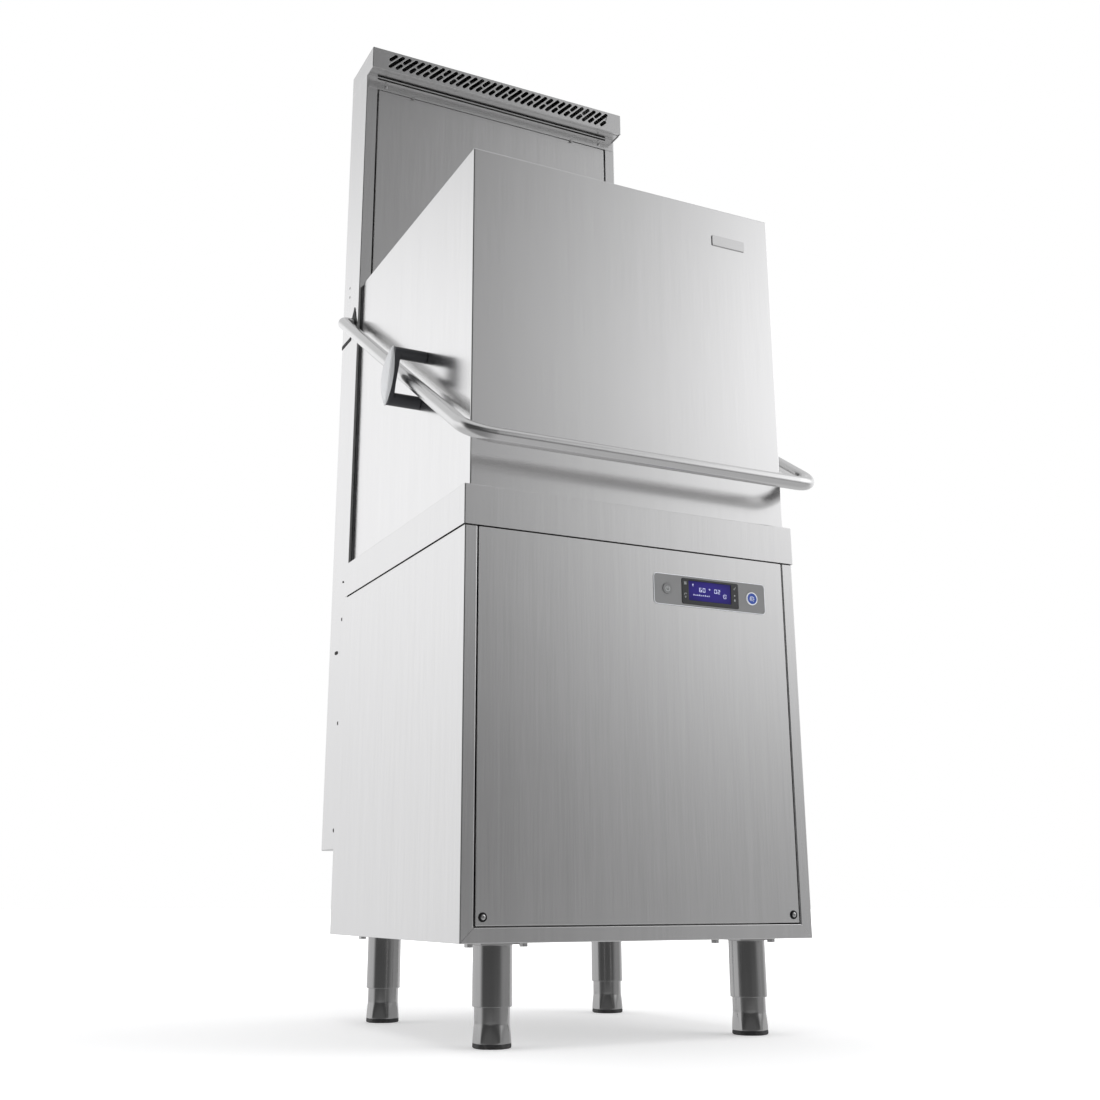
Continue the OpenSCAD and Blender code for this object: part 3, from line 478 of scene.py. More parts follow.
def bake_edges(ob, node):
    """Bakes the rounded edges, refills odd faces, straightens bent normals, and stays in the node's box."""
    depsgraph = bpy.context.evaluated_depsgraph_get()
    baked = bpy.data.meshes.new_from_object(ob.evaluated_get(depsgraph), depsgraph=depsgraph)
    baked.calc_loop_triangles()
    drawn = [0.0] * len(baked.polygons)
    for t in baked.loop_triangles:
        drawn[t.polygon_index] += t.area
    lo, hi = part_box(node)
    corner = [c.vector.copy() for c in baked.corner_normals]
    verts = [v.co.copy() for v in baked.vertices]
    faces, normals = [], []
    for p in baked.polygons:
        n = p.normal.copy()
        if len(p.vertices) > 4 and drawn[p.index] > 1.001 * p.area:
            spots, tris = fill_flat([verts[i] for i in p.vertices], n)
            base = len(verts)
            verts += spots
            for t in tris:
                faces.append([base + i for i in t])
                normals += [n] * 3
            continue
        faces.append(list(p.vertices))
        flat = p.area > FLAT_AREA
        normals += [n if flat or corner[i].dot(n) < BENT_NORMAL else corner[i] for i in p.loop_indices]
    for v in verts:
        v[:] = [min(max(v[k], lo[k]), hi[k]) for k in range(3)]
    mesh = bpy.data.meshes.new(ob.name)
    mesh.from_pydata(verts, [], faces)
    mesh.materials.append(ob.data.materials[0])
    mesh.polygons.foreach_set("use_smooth", [True] * len(mesh.polygons))
    mesh.normals_split_custom_set(normals)
    ob.modifiers.clear()
    ob.data = mesh


def soften(ob, width, segments):
    m = ob.modifiers.new("edge", "BEVEL")
    m.limit_method = "WEIGHT"
    m.width = width
    m.segments = segments
    m.profile = 0.5
    m.use_clamp_overlap = False
    m.harden_normals = True
    m.miter_outer = "MITER_ARC"
    return ob


def refine(node, width):
    """Stands for a CAD node: the same shape with rounded edges and folds."""
    bm = node_mesh(node)
    weight_edges(bm, width * MM, FOLD_ANGLE)
    ob = new_object(node + "_finish", bm, MATS[SLOT_OF[node]])
    all_smooth(ob)
    soften(ob, width * MM, 3)
    bake_edges(ob, node)
    place(ob, node)
    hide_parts(node)


def join_rings(bm, rings):
    """Quads between each closed ring of points and the next."""
    for a, b in zip(rings, rings[1:]):
        for i in range(len(a)):
            j = (i + 1) % len(a)
            bm.faces.new((a[i], a[j], b[j], b[i]))


def skin(bm, rings):
    """A closed body through rings of points, with a flat face at each end."""
    join_rings(bm, rings)
    bm.faces.new(list(reversed(rings[0])))
    bm.faces.new(rings[-1])


def lathe(bm, profile, at=(0, 0, 0), axis="z", segments=48, sign=1):
    """Turns (radius, height) points about an axis; a radius of zero closes the end."""
    rings = []
    at = Vector(at)
    for r, h in profile:
        ring = []
        for i in range(segments if r > 1e-9 else 1):
            a = 2 * math.pi * i / segments
            c, s = r * math.cos(a), r * math.sin(a)
            h2 = sign * h
            v = {"z": (c, s, h2), "x": (h2, c, s), "y": (s, h2, c)}[axis]
            ring.append(bm.verts.new(at + Vector(v)))
        rings.append(ring)
    for a, b in zip(rings, rings[1:]):
        for i in range(segments):
            j = (i + 1) % segments
            corners = []
            for v in (a[i % len(a)], a[j % len(a)], b[j % len(b)], b[i % len(b)]):
                if v not in corners:
                    corners.append(v)
            if len(corners) > 2:
                bm.faces.new(corners)


def sweep(bm, points, radius, segments=24):
    """A round tube along a smooth path."""
    pts = [Vector(p) for p in points]
    rings = []
    side = None
    for i, p in enumerate(pts):
        d = (pts[min(i + 1, len(pts) - 1)] - pts[max(i - 1, 0)]).normalized()
        if side is None:
            side = d.orthogonal().normalized()
        side = (side - d * side.dot(d)).normalized()
        up = d.cross(side)
        r = radius[i] if isinstance(radius, (list, tuple)) else radius
        rings.append([bm.verts.new(p + (side * math.cos(a) + up * math.sin(a)) * r)
                      for a in (2 * math.pi * k / segments for k in range(segments))])
    skin(bm, rings)


def prism(bm, outline, y0, y1):
    """An X-Z outline (metres) between two depths."""
    a = [bm.verts.new((x, y0, z)) for x, z in outline]
    b = [bm.verts.new((x, y1, z)) for x, z in outline]
    skin(bm, [b, a])


def round_rect(x0, x1, z0, z1, r, steps=8):
    pts = []
    for cx, cz, a0 in ((x1 - r, z1 - r, 0), (x0 + r, z1 - r, 90),
                       (x0 + r, z0 + r, 180), (x1 - r, z0 + r, 270)):
        for i in range(steps + 1):
            a = math.radians(a0 + 90 * i / steps)
            pts.append((cx + r * math.cos(a), cz + r * math.sin(a)))
    return pts


def arc(cx, cz, r, a0, a1, steps=20):
    return [(cx + r * math.cos(math.radians(a0 + (a1 - a0) * i / steps)),
             cz + r * math.sin(math.radians(a0 + (a1 - a0) * i / steps))) for i in range(steps + 1)]


def stroke(bm, pts, width, y0, y1):
    """A flat raised line of constant width through X-Z points, with round ends."""
    n = len(pts)
    left, right = [], []
    for i, (x, z) in enumerate(pts):
        ax, az = pts[max(i - 1, 0)]
        bx, bz = pts[min(i + 1, n - 1)]
        d = Vector((bx - ax, bz - az)).normalized()
        off = Vector((-d.y, d.x)) * width / 2
        left.append((x + off.x, z + off.y))
        right.append((x - off.x, z - off.y))
    outline = left + list(reversed(right))
    prism(bm, outline, y0, y1)


def cut(ob, cutter):
    """Takes the cutter out of the object for good, and removes the cutter."""
    m = ob.modifiers.new("cut", "BOOLEAN")
    m.object = cutter
    m.operation = "DIFFERENCE"
    m.solver = "EXACT"
    bpy.context.view_layer.update()
    got = bpy.data.meshes.new_from_object(ob.evaluated_get(bpy.context.evaluated_depsgraph_get()))
    ob.modifiers.clear()
    old = ob.data
    ob.data = got
    bpy.data.meshes.remove(old)
    bpy.data.objects.remove(cutter)
    return ob


def screw_proto(radius, height, kind="pan"):
    """A screw head along +Z from z = 0, with a cross recess."""
    bm = bmesh.new()
    if kind == "pan":
        prof = [(0, 0), (radius, 0), (radius, height * 0.42), (radius * 0.95, height * 0.66),
                (radius * 0.80, height * 0.86), (radius * 0.55, height * 0.96), (0, height)]
    else:
        prof = [(0, 0), (radius, 0), (radius, height * 0.2), (radius * 0.9, height * 0.5),
                (radius * 0.6, height * 0.85), (0, height)]
    lathe(bm, prof, segments=32)
    outward(bm)
    head = new_object("screw_proto", bm)
    bm = bmesh.new()
    a, w = radius * 0.58, radius * 0.13
    cross = [(w, a), (-w, a), (-w, w), (-a, w), (-a, -w), (-w, -w), (-w, -a), (w, -a), (w, -w), (a, -w),
             (a, w), (w, w)]
    low, high = height * 0.3, height + 0.001
    bottom = [bm.verts.new((x * 0.6, y * 0.6, low)) for x, y in cross]
    top = [bm.verts.new((x, y, high)) for x, y in cross]
    bm.faces.new(top)
    bm.faces.new(list(reversed(bottom)))
    for i in range(12):
        j = (i + 1) % 12
        bm.faces.new((top[i], bottom[i], bottom[j], top[j]))
    outward(bm)
    cutter = new_object("screw_cutter", bm)
    cut(head, cutter)
    mesh = head.data
    bpy.data.objects.remove(head)
    return mesh


def add_copies(bm, mesh, spots):
    """Adds a mesh once for each (place, direction of its +Z axis, turn)."""
    for at, toward, turn in spots:
        q = Vector(toward).to_track_quat("Z", "Y").to_matrix().to_4x4()
        m = Matrix.Translation(at) @ q @ Matrix.Rotation(turn, 4, "Z")
        piece = mesh.copy()
        piece.transform(m)
        bm.from_mesh(piece)
        bpy.data.meshes.remove(piece)


make_camera()


# ---------------------------------------------------------------- stage and light

def make_stage():
    bm = bmesh.new()
    lathe(bm, [(0, 0), (0.6, 0), (1.2, 0), (2.2, 0), (3.5, 0), (6, 0), (10, 0), (24, 0)], segments=64)
    outward(bm)
    s = Shader("studio_floor")
    split = s.node("ShaderNodeSeparateXYZ")
    s.link(s.coord.outputs["Object"], split.inputs[0])
    r2 = s.math("ADD", s.math("POWER", split.outputs["X"], 2.0), s.math("POWER", split.outputs["Y"], 2.0))
    far = s.ramp(s.math("SQRT", r2), 0.9, 3.6, 0.0, 1.0)
    tone = s.noise(s.mapped((1, 1, 1)), 2.0, 3.0)
    color = s.tint(tone, (0.90, 0.90, 0.90), (0.93, 0.93, 0.93))
    s.put(s.bsdf.inputs["Emission Color"], color)
    s.link(s.ramp(far, 0.0, 1.0, 0.36, 1.05, False), s.bsdf.inputs["Emission Strength"])
    s.finish(color, s.ramp(tone, 0.3, 0.7, 0.85, 0.95), Specular_IOR_Level=0.1)
    floor = new_object("studio_floor", bm, s.mat)
    floor.location.z = -0.0002
    floor.visible_glossy = False


def make_world():
    world = bpy.data.worlds.new("studio")
    scene.world = world
    world.use_nodes = True
    nt = world.node_tree
    nt.nodes.clear()
    s = Shader.__new__(Shader)
    s.nt = nt
    coord = s.node("ShaderNodeTexCoord")
    split = s.node("ShaderNodeSeparateXYZ")
    s.link(coord.outputs["Generated"], split.inputs[0])
    x, y, z = (split.outputs[k] for k in "XYZ")
    lift = s.ramp(z, -0.05, 0.42, 0.0, 1.0)
    right = s.ramp(x, 0.24, 0.74, 0.0, 1.0)
    far_right = s.math("MULTIPLY", s.ramp(x, 0.46, 0.61, 0.0, 0.32), s.ramp(z, 0.02, 0.24, 0.0, 1.0))
    glow = s.math("MULTIPLY", s.ramp(z, 0.22, 0.34, 0.0, 0.07), s.ramp(z, 0.44, 0.60, 1.0, 0.0))
    front = s.math("MULTIPLY_ADD", lift, 0.10, 0.085)
    front = s.math("MULTIPLY_ADD", right, s.math("MULTIPLY_ADD", lift, 0.62, 0.30), front)
    front = s.math("ADD", s.math("ADD", front, far_right), glow)
    left_dark = s.pick(s.ramp(x, -0.55, 0.10, 0.0, 1.0), s.ramp(z, 0.02, 0.28, 1.0, 0.30), 1.0)
    high_dark = s.math("MULTIPLY", s.ramp(z, 0.52, 0.66, 0.0, 1.0), s.ramp(x, 0.38, 0.56, 0.12, 0.0))
    front = s.math("MULTIPLY", front, s.math("SUBTRACT", left_dark, s.math("MULTIPLY", left_dark, high_dark)))
    back = s.math("ADD", s.ramp(z, 0.0, 0.30, 0.86, 1.02), s.ramp(z, 0.38, 0.60, 0.0, -0.34))
    side = s.ramp(y, -0.20, 0.22, 0.0, 1.0)
    level = s.pick(side, front, back)
    level = s.pick(s.ramp(z, 0.74, 0.94, 0.0, 1.0), level, 0.66)
    low = s.pick(side, s.ramp(x, -0.5, 0.5, 0.26, 0.50), 0.60)
    level = s.pick(s.ramp(z, -0.20, -0.02, 1.0, 0.0), level, low)
    tint = s.node("ShaderNodeCombineColor")
    s.link(level, tint.inputs[0])
    s.link(level, tint.inputs[1])
    s.link(s.math("MULTIPLY", level, 1.01), tint.inputs[2])
    light = s.node("ShaderNodeBackground")
    s.link(tint.outputs[0], light.inputs["Color"])
    plain = s.node("ShaderNodeBackground")
    plain.inputs["Color"].default_value = (1.0, 1.0, 1.0, 1.0)
    path = s.node("ShaderNodeLightPath")
    mix = s.node("ShaderNodeMixShader")
    s.link(path.outputs["Is Camera Ray"], mix.inputs[0])
    s.link(light.outputs[0], mix.inputs[1])
    s.link(plain.outputs[0], mix.inputs[2])
    out = s.node("ShaderNodeOutputWorld")
    s.link(mix.outputs[0], out.inputs["Surface"])


def soft_light(name, at, toward, size, power):
    """A large soft lamp that leaves no mirror image of itself in the steel."""
    data = bpy.data.lights.new(name, "AREA")
    data.shape = "RECTANGLE"
    data.size, data.size_y = size
    data.energy = power
    ob = bpy.data.objects.new(name, data)
    ob.location = at
    ob.rotation_euler = (Vector(toward) - Vector(at)).to_track_quat("-Z", "Y").to_euler()
    ob.visible_camera = False
    ob.visible_glossy = False
    scene.collection.objects.link(ob)


def make_lights():
    soft_light("soft_key", (3.4, -2.6, 2.9), (0, 0, 1.0), (2.2, 2.2), 22)
    soft_light("soft_top", (0.0, -0.2, 4.2), (0, 0, 0), (3.2, 3.2), 45)
    soft_light("soft_left", (-3.6, 1.4, 2.0), (0, 0, 1.0), (2.4, 2.4), 20)
    scene.view_settings.view_transform = "Standard"
    scene.view_settings.look = "None"
    scene.view_settings.exposure = 0.0


make_stage()
make_world()
make_lights()


# ---------------------------------------------------------------- the machine

PIVOT = Vector(next(j["pos_m"] for j in frame["joints"] if j["name"] == "handle_swing"))
MID_Y = 0.626 - PIVOT.y


def spot(x, y, z):
    """A point given in part.scad's machine millimetres."""
    return Vector((x * MM, y * MM - MID_Y, z * MM))


ROUNDING = {
    "side_panel_left": 2.2, "side_panel_right": 2.2, "bottom_pan": 1.2, "front_panel": 1.2, "rear_cover": 1.0,
    "rim_frame": 2.2, "wash_tank": 3.0, "tank_strainer": 0.8, "tank_heater": 0.8, "rack_guide": 0.9,
    "lower_manifold": 0.8, "wash_riser": 0.8, "back_panel": 1.2, "column_left": 2.0, "column_right": 2.0,
    "pivot_bushes": 0.8, "canopy": 1.8, "canopy_floor": 1.0, "canopy_strip": 1.0, "fan_housing": 1.2,
    "fan_motor": 2.5, "control_fascia": 0.35, "display_bezel": 0.6, "display_screen": 0.2, "control_box": 2.0,
    "wash_pump": 2.5, "boiler": 1.5, "drain_pump": 2.5, "dosing_pumps": 2.5, "inlet_valve": 1.5,
    "cable_gland": 1.2, "leg_sleeves": 1.6, "cabinet_bolts": 0.8, "hood_shell": 2.6, "hood_carriages": 1.2,
    "yokes": 1.8, "badge_plate": 0.5, "handle_cranks": 1.0, "upper_wash_arm": 3.0, "lower_wash_arm": 3.0,
    "upper_rinse_arm": 0.8, "lower_rinse_arm": 0.8, "guide_rails": 0.8, "pump_impeller": 0.8,
}


def make_sheet_and_castings():
    for node, width in ROUNDING.items():
        refine(node, width)
    for node in ("heat_exchanger", "pipework", "fan_rotor"):
        ob = frame["nodes"][node]
        ob.data.materials.clear()
        ob.data.materials.append(MATS[SLOT_OF[node]])


def make_rear_cover():
    """The tower's rear cover, with countersunk pockets that hold its screws flush."""
    lo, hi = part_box("tower_rear_cover")
    bm = node_mesh("tower_rear_cover")
    ob = new_object("tower_rear_cover_finish", bm, MATS["brushed_steel"])
    edge = 0.011
    rows = [lo.z + 0.03 + (hi.z - lo.z - 0.06) * i / 6 for i in range(7)]
    spots = [(s * (hi.x - edge), z) for s in (-1, 1) for z in rows]
    bm = bmesh.new()
    for x, z in spots:
        lathe(bm, [(0, 0.0013), (0.0040, 0.0013), (0.0052, -0.001), (0, -0.001)], (x, hi.y, z), "y", 32, -1)
    outward(bm)
    cut(ob, new_object("pockets", bm))
    bm = bmesh.new()
    bm.from_mesh(ob.data)
    weight_edges(bm, 0.0008, FOLD_ANGLE)
    bm.to_mesh(ob.data)
    bm.free()
    all_smooth(ob)
    soften(ob, 0.0008, 2)
    place(ob, "tower_rear_cover")
    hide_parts("tower_rear_cover")
    head = screw_proto(0.0036, 0.0011, "flat")
    bm = bmesh.new()
    add_copies(bm, head, [(Vector((x, hi.y - 0.00128, z)), (0, 1, 0), 0.4 + i * 0.9)
                          for i, (x, z) in enumerate(spots)])
    screws = smooth(new_object("rear_cover_screws", bm, MATS["fastener_steel"]))
    place(screws, "tower_rear_cover")


def make_panel_screws():
    head = screw_proto(0.0041, 0.0021)
    cups = bmesh.new()
    heads = bmesh.new()
    lo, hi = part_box("panel_screws")
    z = (lo.z + hi.z) / 2
    x = hi.x - 0.007
    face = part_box("front_panel")[0].y
    for s in (-1, 1):
        lathe(cups, [(0, 0), (0.0070, 0), (0.0070, 0.0005), (0.0066, 0.0013), (0.0058, 0.0021),
                     (0.0052, 0.0023), (0.0047, 0.0021), (0.0043, 0.0012), (0.0042, 0.0007), (0, 0.0007)],
              (s * x, face, z), "y", 40, -1)
        add_copies(heads, head, [(Vector((s * x, face - 0.0007, z)), (0, -1, 0), 0.5 + s)])
    outward(cups)
    # The cups are drawn black, which puts a dark ring round each screw head.
    a = smooth(new_object("panel_screw_cups", cups, MATS["black_plastic"]))
    place(a, "panel_screws")
    b = smooth(new_object("panel_screws_finish", heads, MATS["fastener_steel"]))
    place(b, "panel_screws")
    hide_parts("panel_screws")


def make_tower_screws():
    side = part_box("column_right")[1].x
    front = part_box("canopy_strip")[0].y
    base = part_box("canopy")[0].z
    big, mid, small = screw_proto(0.0038, 0.002), screw_proto(0.0034, 0.002), screw_proto(0.0022, 0.0015)
    sides, fronts = bmesh.new(), bmesh.new()
    for s in (-1, 1):
        for y, z, m in ((623, 743.5, big), (650, 681, mid), (657, 681, mid), (623, 539, big), (623, 337, big),
                        (627, 820, small)):
            p = spot(0, y, z)
            p.x = s * side
            add_copies(sides, m, [(p, (s, 0, 0), y * 0.7 + z)])
        add_copies(fronts, big, [(Vector((s * 0.269, front, base - 0.020)), (0, -1, 0), 0.3 + s)])
        add_copies(fronts, small, [(Vector((s * 0.269, front, base - 0.009)), (0, -1, 0), 0.9)])
    ob = smooth(new_object("tower_screws_finish", sides, DARK_SCREW))
    place(ob, "tower_screws")
    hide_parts("tower_screws")
    ob = smooth(new_object("strip_screws", fronts, MATS["fastener_steel"]))
    place(ob, "tower_screws")


def make_strip_hooks():
    """Two small folded clips on the strip's lower edge."""
    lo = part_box("canopy_strip")[0]
    bm = bmesh.new()
    for x in (-0.204, 0.196):
        profile = [(lo.y - out, lo.z + up) for out, up in (
            (0, 0.0030), (0.0008, 0.0030), (0.0008, -0.0022), (0.0034, -0.0022),
            (0.0034, 0.0004), (0.0042, 0.0004), (0.0042, -0.0030), (0, -0.0030))]
        a = [bm.verts.new((x - 0.0032, y, z)) for y, z in profile]
        b = [bm.verts.new((x + 0.0032, y, z)) for y, z in profile]
        skin(bm, [b, a])
    outward(bm)
    weight_edges(bm, 0.0003, FOLD_ANGLE)
    ob = new_object("strip_hooks", bm, MATS["fastener_steel"])
    all_smooth(ob)
    soften(ob, 0.0003, 2)
    place(ob, "canopy_strip")


def make_gap_shade_strips():
    """Dark hose-rubber strips in the gap between the hood's rear edges and the columns: painted shade, the black
    line of the shaded gap.
    """
    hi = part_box("hood_shell")[1]
    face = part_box("column_right")[0].y
    z0, z1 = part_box("rim_frame")[1].z + 0.006, hi.z - 0.006
    y0, y1 = hi.y + 0.0001, face - 0.0004
    bm = bmesh.new()
    for s in (-1, 1):
        outline = [(s * x, y) for x, y in round_rect(hi.x - 0.0060, hi.x + 0.0014, y0, y1, 0.0022, 5)]
        a = [bm.verts.new((x, y, z0)) for x, y in outline]
        b = [bm.verts.new((x, y, z1)) for x, y in outline]
        skin(bm, [b, a])
    outward(bm)
    place(smooth(new_object("hood_gap_shade_strips", bm, MATS["hose_rubber"])), "hood_shell")


def handle_path():
    lo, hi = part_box("handle_bar")
    r = 0.0125
    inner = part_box("handle_cranks")[1].x
    bar = Vector((0, lo.y + r, lo.z + r))
    run = PIVOT - bar
    length = math.hypot(run.y, run.z)
    arm, corner, bend = hi.x - r, 0.048, 0.013
    flat = [(inner, length), (arm - bend, length)]
    flat += [(arm - bend + bend * math.sin(a), length - bend + bend * math.cos(a))
             for a in (math.radians(90 * i / 14) for i in range(1, 15))]
    flat += [(arm, length - bend - (length - bend - corner) * i / 12) for i in range(1, 12)]
    flat += [(arm - corner + corner * math.cos(a), corner - corner * math.sin(a))
             for a in (math.radians(90 * i / 20) for i in range(21))]
    whole = flat + [((arm - corner) * (1 - i / 6), 0) for i in range(1, 6)] + [(0, 0)]
    whole += [(-x, y) for x, y in reversed(whole[:-1])]
    along = run.normalized()
    return [bar + Vector((x, 0, 0)) + along * y for x, y in whole], r


def make_handle():
    pts, r = handle_path()
    bm = bmesh.new()
    sweep(bm, pts, r, 56)
    outward(bm)
    ob = smooth(new_object("handle_bar_finish", bm, MATS["tube_steel"]), 40)
    place(ob, "handle_bar")
    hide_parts("handle_bar")


def make_yoke_caps():
    """Lens-shaped caps: a raised rim line, then a crown that falls away towards both tips."""
    lo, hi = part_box("yoke_caps")
    centre = Vector((0, (lo.y + hi.y) / 2, (lo.z + hi.z) / 2))
    base, rise, fall = hi.x - 0.009, 0.009, 0.007
    lean = math.radians(20)
    tall, wide = 0.054, 0.023
    big = (tall * tall + wide * wide) / (2 * wide)
    ball = (tall * tall + fall * fall) / (2 * fall)
    n = 40
    rim = []
    for k in range(n):
        v = tall * math.cos(math.pi * k / n)
        rim.append((math.sqrt(max(big * big - v * v, 0)) - (big - wide), v))
    for k in range(n):
        v = -tall * math.cos(math.pi * k / n)
        rim.append((-(math.sqrt(max(big * big - v * v, 0)) - (big - wide)), v))
    # scale of the outline, and depth below the crown's surface
    steps = [(1.0, None), (1.0, 0.0010), (0.985, 0.0003), (0.965, 0.0002), (0.930, 0.0002), (0.915, 0.0010),
             (0.880, 0.0010), (0.865, 0.0), (0.7, 0.0), (0.5, 0.0), (0.3, 0.0), (0.1, 0.0)]
    bm = bmesh.new()
    for s in (-1, 1):
        rings = []
        for scale, sunk in steps:
            ring = []
            for u, v in rim:
                u2 = u * scale
                v2 = v * (1 - (1 - scale) * 0.62) if scale > 0.86 else v * scale * 0.9163 / 0.865
                crown = rise - ball + math.sqrt(ball * ball - u2 * u2 - v2 * v2)
                x = 0.0 if sunk is None else max(crown - sunk, 0.0004)
                y = u2 * math.cos(lean) - v2 * math.sin(lean)
                z = u2 * math.sin(lean) + v2 * math.cos(lean)
                ring.append(bm.verts.new((s * (base + x), centre.y + y, centre.z + z)))
            rings.append(ring)
        join_rings(bm, rings)
        tip = bm.verts.new((s * (base + rise), centre.y, centre.z))
        last = rings[-1]
        for i in range(len(last)):
            bm.faces.new((last[i], last[(i + 1) % len(last)], tip))
        bm.faces.new(list(reversed(rings[0])))
    bmesh.ops.remove_doubles(bm, verts=bm.verts, dist=1e-6)
    outward(bm)
    ob = smooth(new_object("yoke_caps_finish", bm, MATS["cap_plastic"]), 50)
    place(ob, "yoke_caps")
    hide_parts("yoke_caps")


def make_feet():
    for node in ("foot_front_left", "foot_front_right", "foot_rear_left", "foot_rear_right"):
        lo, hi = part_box(node)
        at = Vector(((lo.x + hi.x) / 2, (lo.y + hi.y) / 2, 0))
        n = 120

        def ring(bm, z, radius, hexagon, blend):
            out = []
            for i in range(n):
                a = 2 * math.pi * i / n
                turn = (a + math.pi / 6) % (math.pi / 3) - math.pi / 6
                flat = hexagon * math.cos(math.pi / 6) / math.cos(turn)
                k = 0.0006
                soft = -k * math.log(math.exp(-radius / k) + math.exp(-flat / k))
                r = radius + (soft - radius) * blend
                out.append(bm.verts.new(at + Vector((r * math.cos(a), r * math.sin(a), z))))
            return out

        bm = bmesh.new()
        levels = [(0.0068, 0.0288, 1.0), (0.0074, 0.0293, 1.0)]
        levels += [(0.0080 + 0.0260 * i / 16, 0.0294 - 0.0024 * (i / 16) ** 1.5, 1.0) for i in range(17)]
        levels += [(0.0355, 0.0270, 0.7), (0.0372, 0.0270, 0.35), (0.0392, 0.0270, 0.0), (0.060, 0.0270, 0.0),
                   (0.118, 0.0270, 0.0)]
        rings = [ring(bm, z, r, 0.0310, k) for z, r, k in levels]
        skin(bm, rings)
        outward(bm)
        body = smooth(new_object(node + "_finish", bm, MATS["leg_steel"]), 30)
        place(body, node)
        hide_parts(node)
        bm = bmesh.new()
        levels = [(0.0, 0.0275), (0.0006, 0.0287), (0.0018, 0.0294), (0.0058, 0.0294),
                  (0.0066, 0.0290), (0.0069, 0.0282)]
        skin(bm, [ring(bm, z, r, 0.0314, 1.0) for z, r in levels])
        outward(bm)
        pad = smooth(new_object(node + "_pad", bm, FOOT_RUBBER), 40)
        place(pad, node)
        bm = bmesh.new()
        lathe(bm, [(0.0119, 0.117), (0.0119, 0.1415), (0.0112, 0.142), (0, 0.142)], at, "z", 40)
        outward(bm)
        stem = smooth(new_object(node + "_stem", bm, MATS["leg_steel"]))
        place(stem, node)


def make_springs():
    lo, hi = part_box("springs")
    y = (lo.y + hi.y) / 2
    r, wire = 0.0068, 0.0012
    x = hi.x - 0.008
    bottom, top = lo.z, hi.z
    turns, per = 64, 14
    bm = bmesh.new()
    for s in (-1, 1):
        z0, z1 = bottom + 0.004, top - 0.024
        pts = [(s * x, y, bottom + 0.0005), (s * x, y, bottom + 0.002)]
        for i in range(turns * per + 1):
            t = i / (turns * per)
            grow = min(1.0, t * turns * 0.7, (1 - t) * turns * 0.7)
            a = 2 * math.pi * i / per
            pts.append((s * x + r * grow * math.cos(a), y + r * grow * math.sin(a), z0 + (z1 - z0) * t))
        pts += [(s * x, y, z1 + 0.002), (s * x, y, top - 0.0005)]
        clean = [pts[0]]
        for p in pts[1:]:
            if (Vector(p) - Vector(clean[-1])).length > 0.0004:
                clean.append(p)
        sweep(bm, clean, wire, 8)
    outward(bm)
    ob = smooth(new_object("springs_finish", bm, MATS["leg_steel"]), 60)
    place(ob, "springs")
    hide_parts("springs")
    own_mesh(ob)


# ---------------------------------------------------------------- the control panel

SEGMENTS = {"0": "abcdef", "2": "abged", "6": "acdefg"}


def digit(bm, ch, x, z, w, h, t, y0, y1):
    """One seven-segment figure with its lower left corner at x, z."""
    g = t * 0.55
    mid = z + h / 2
    bars = {"a": (x + g, x + w - g, z + h - t, z + h), "d": (x + g, x + w - g, z, z + t),
            "g": (x + g, x + w - g, mid - t / 2, mid + t / 2),
            "f": (x, x + t, mid + g * 0.5, z + h - g), "b": (x + w - t, x + w, mid + g * 0.5, z + h - g),
            "e": (x, x + t, z + g, mid - g * 0.5), "c": (x + w - t, x + w, z + g, mid - g * 0.5)}
    for k in SEGMENTS[ch]:
        x0, x1, z0, z1 = bars[k]
        c = t * 0.35
        if x1 - x0 > z1 - z0:
            pts = [(x0, (z0 + z1) / 2), (x0 + c, z0), (x1 - c, z0),
                   (x1, (z0 + z1) / 2), (x1 - c, z1), (x0 + c, z1)]
        else:
            pts = [((x0 + x1) / 2, z0), (x1, z0 + c), (x1, z1 - c),
                   ((x0 + x1) / 2, z1), (x0, z1 - c), (x0, z0 + c)]
        prism(bm, pts, y0, y1)


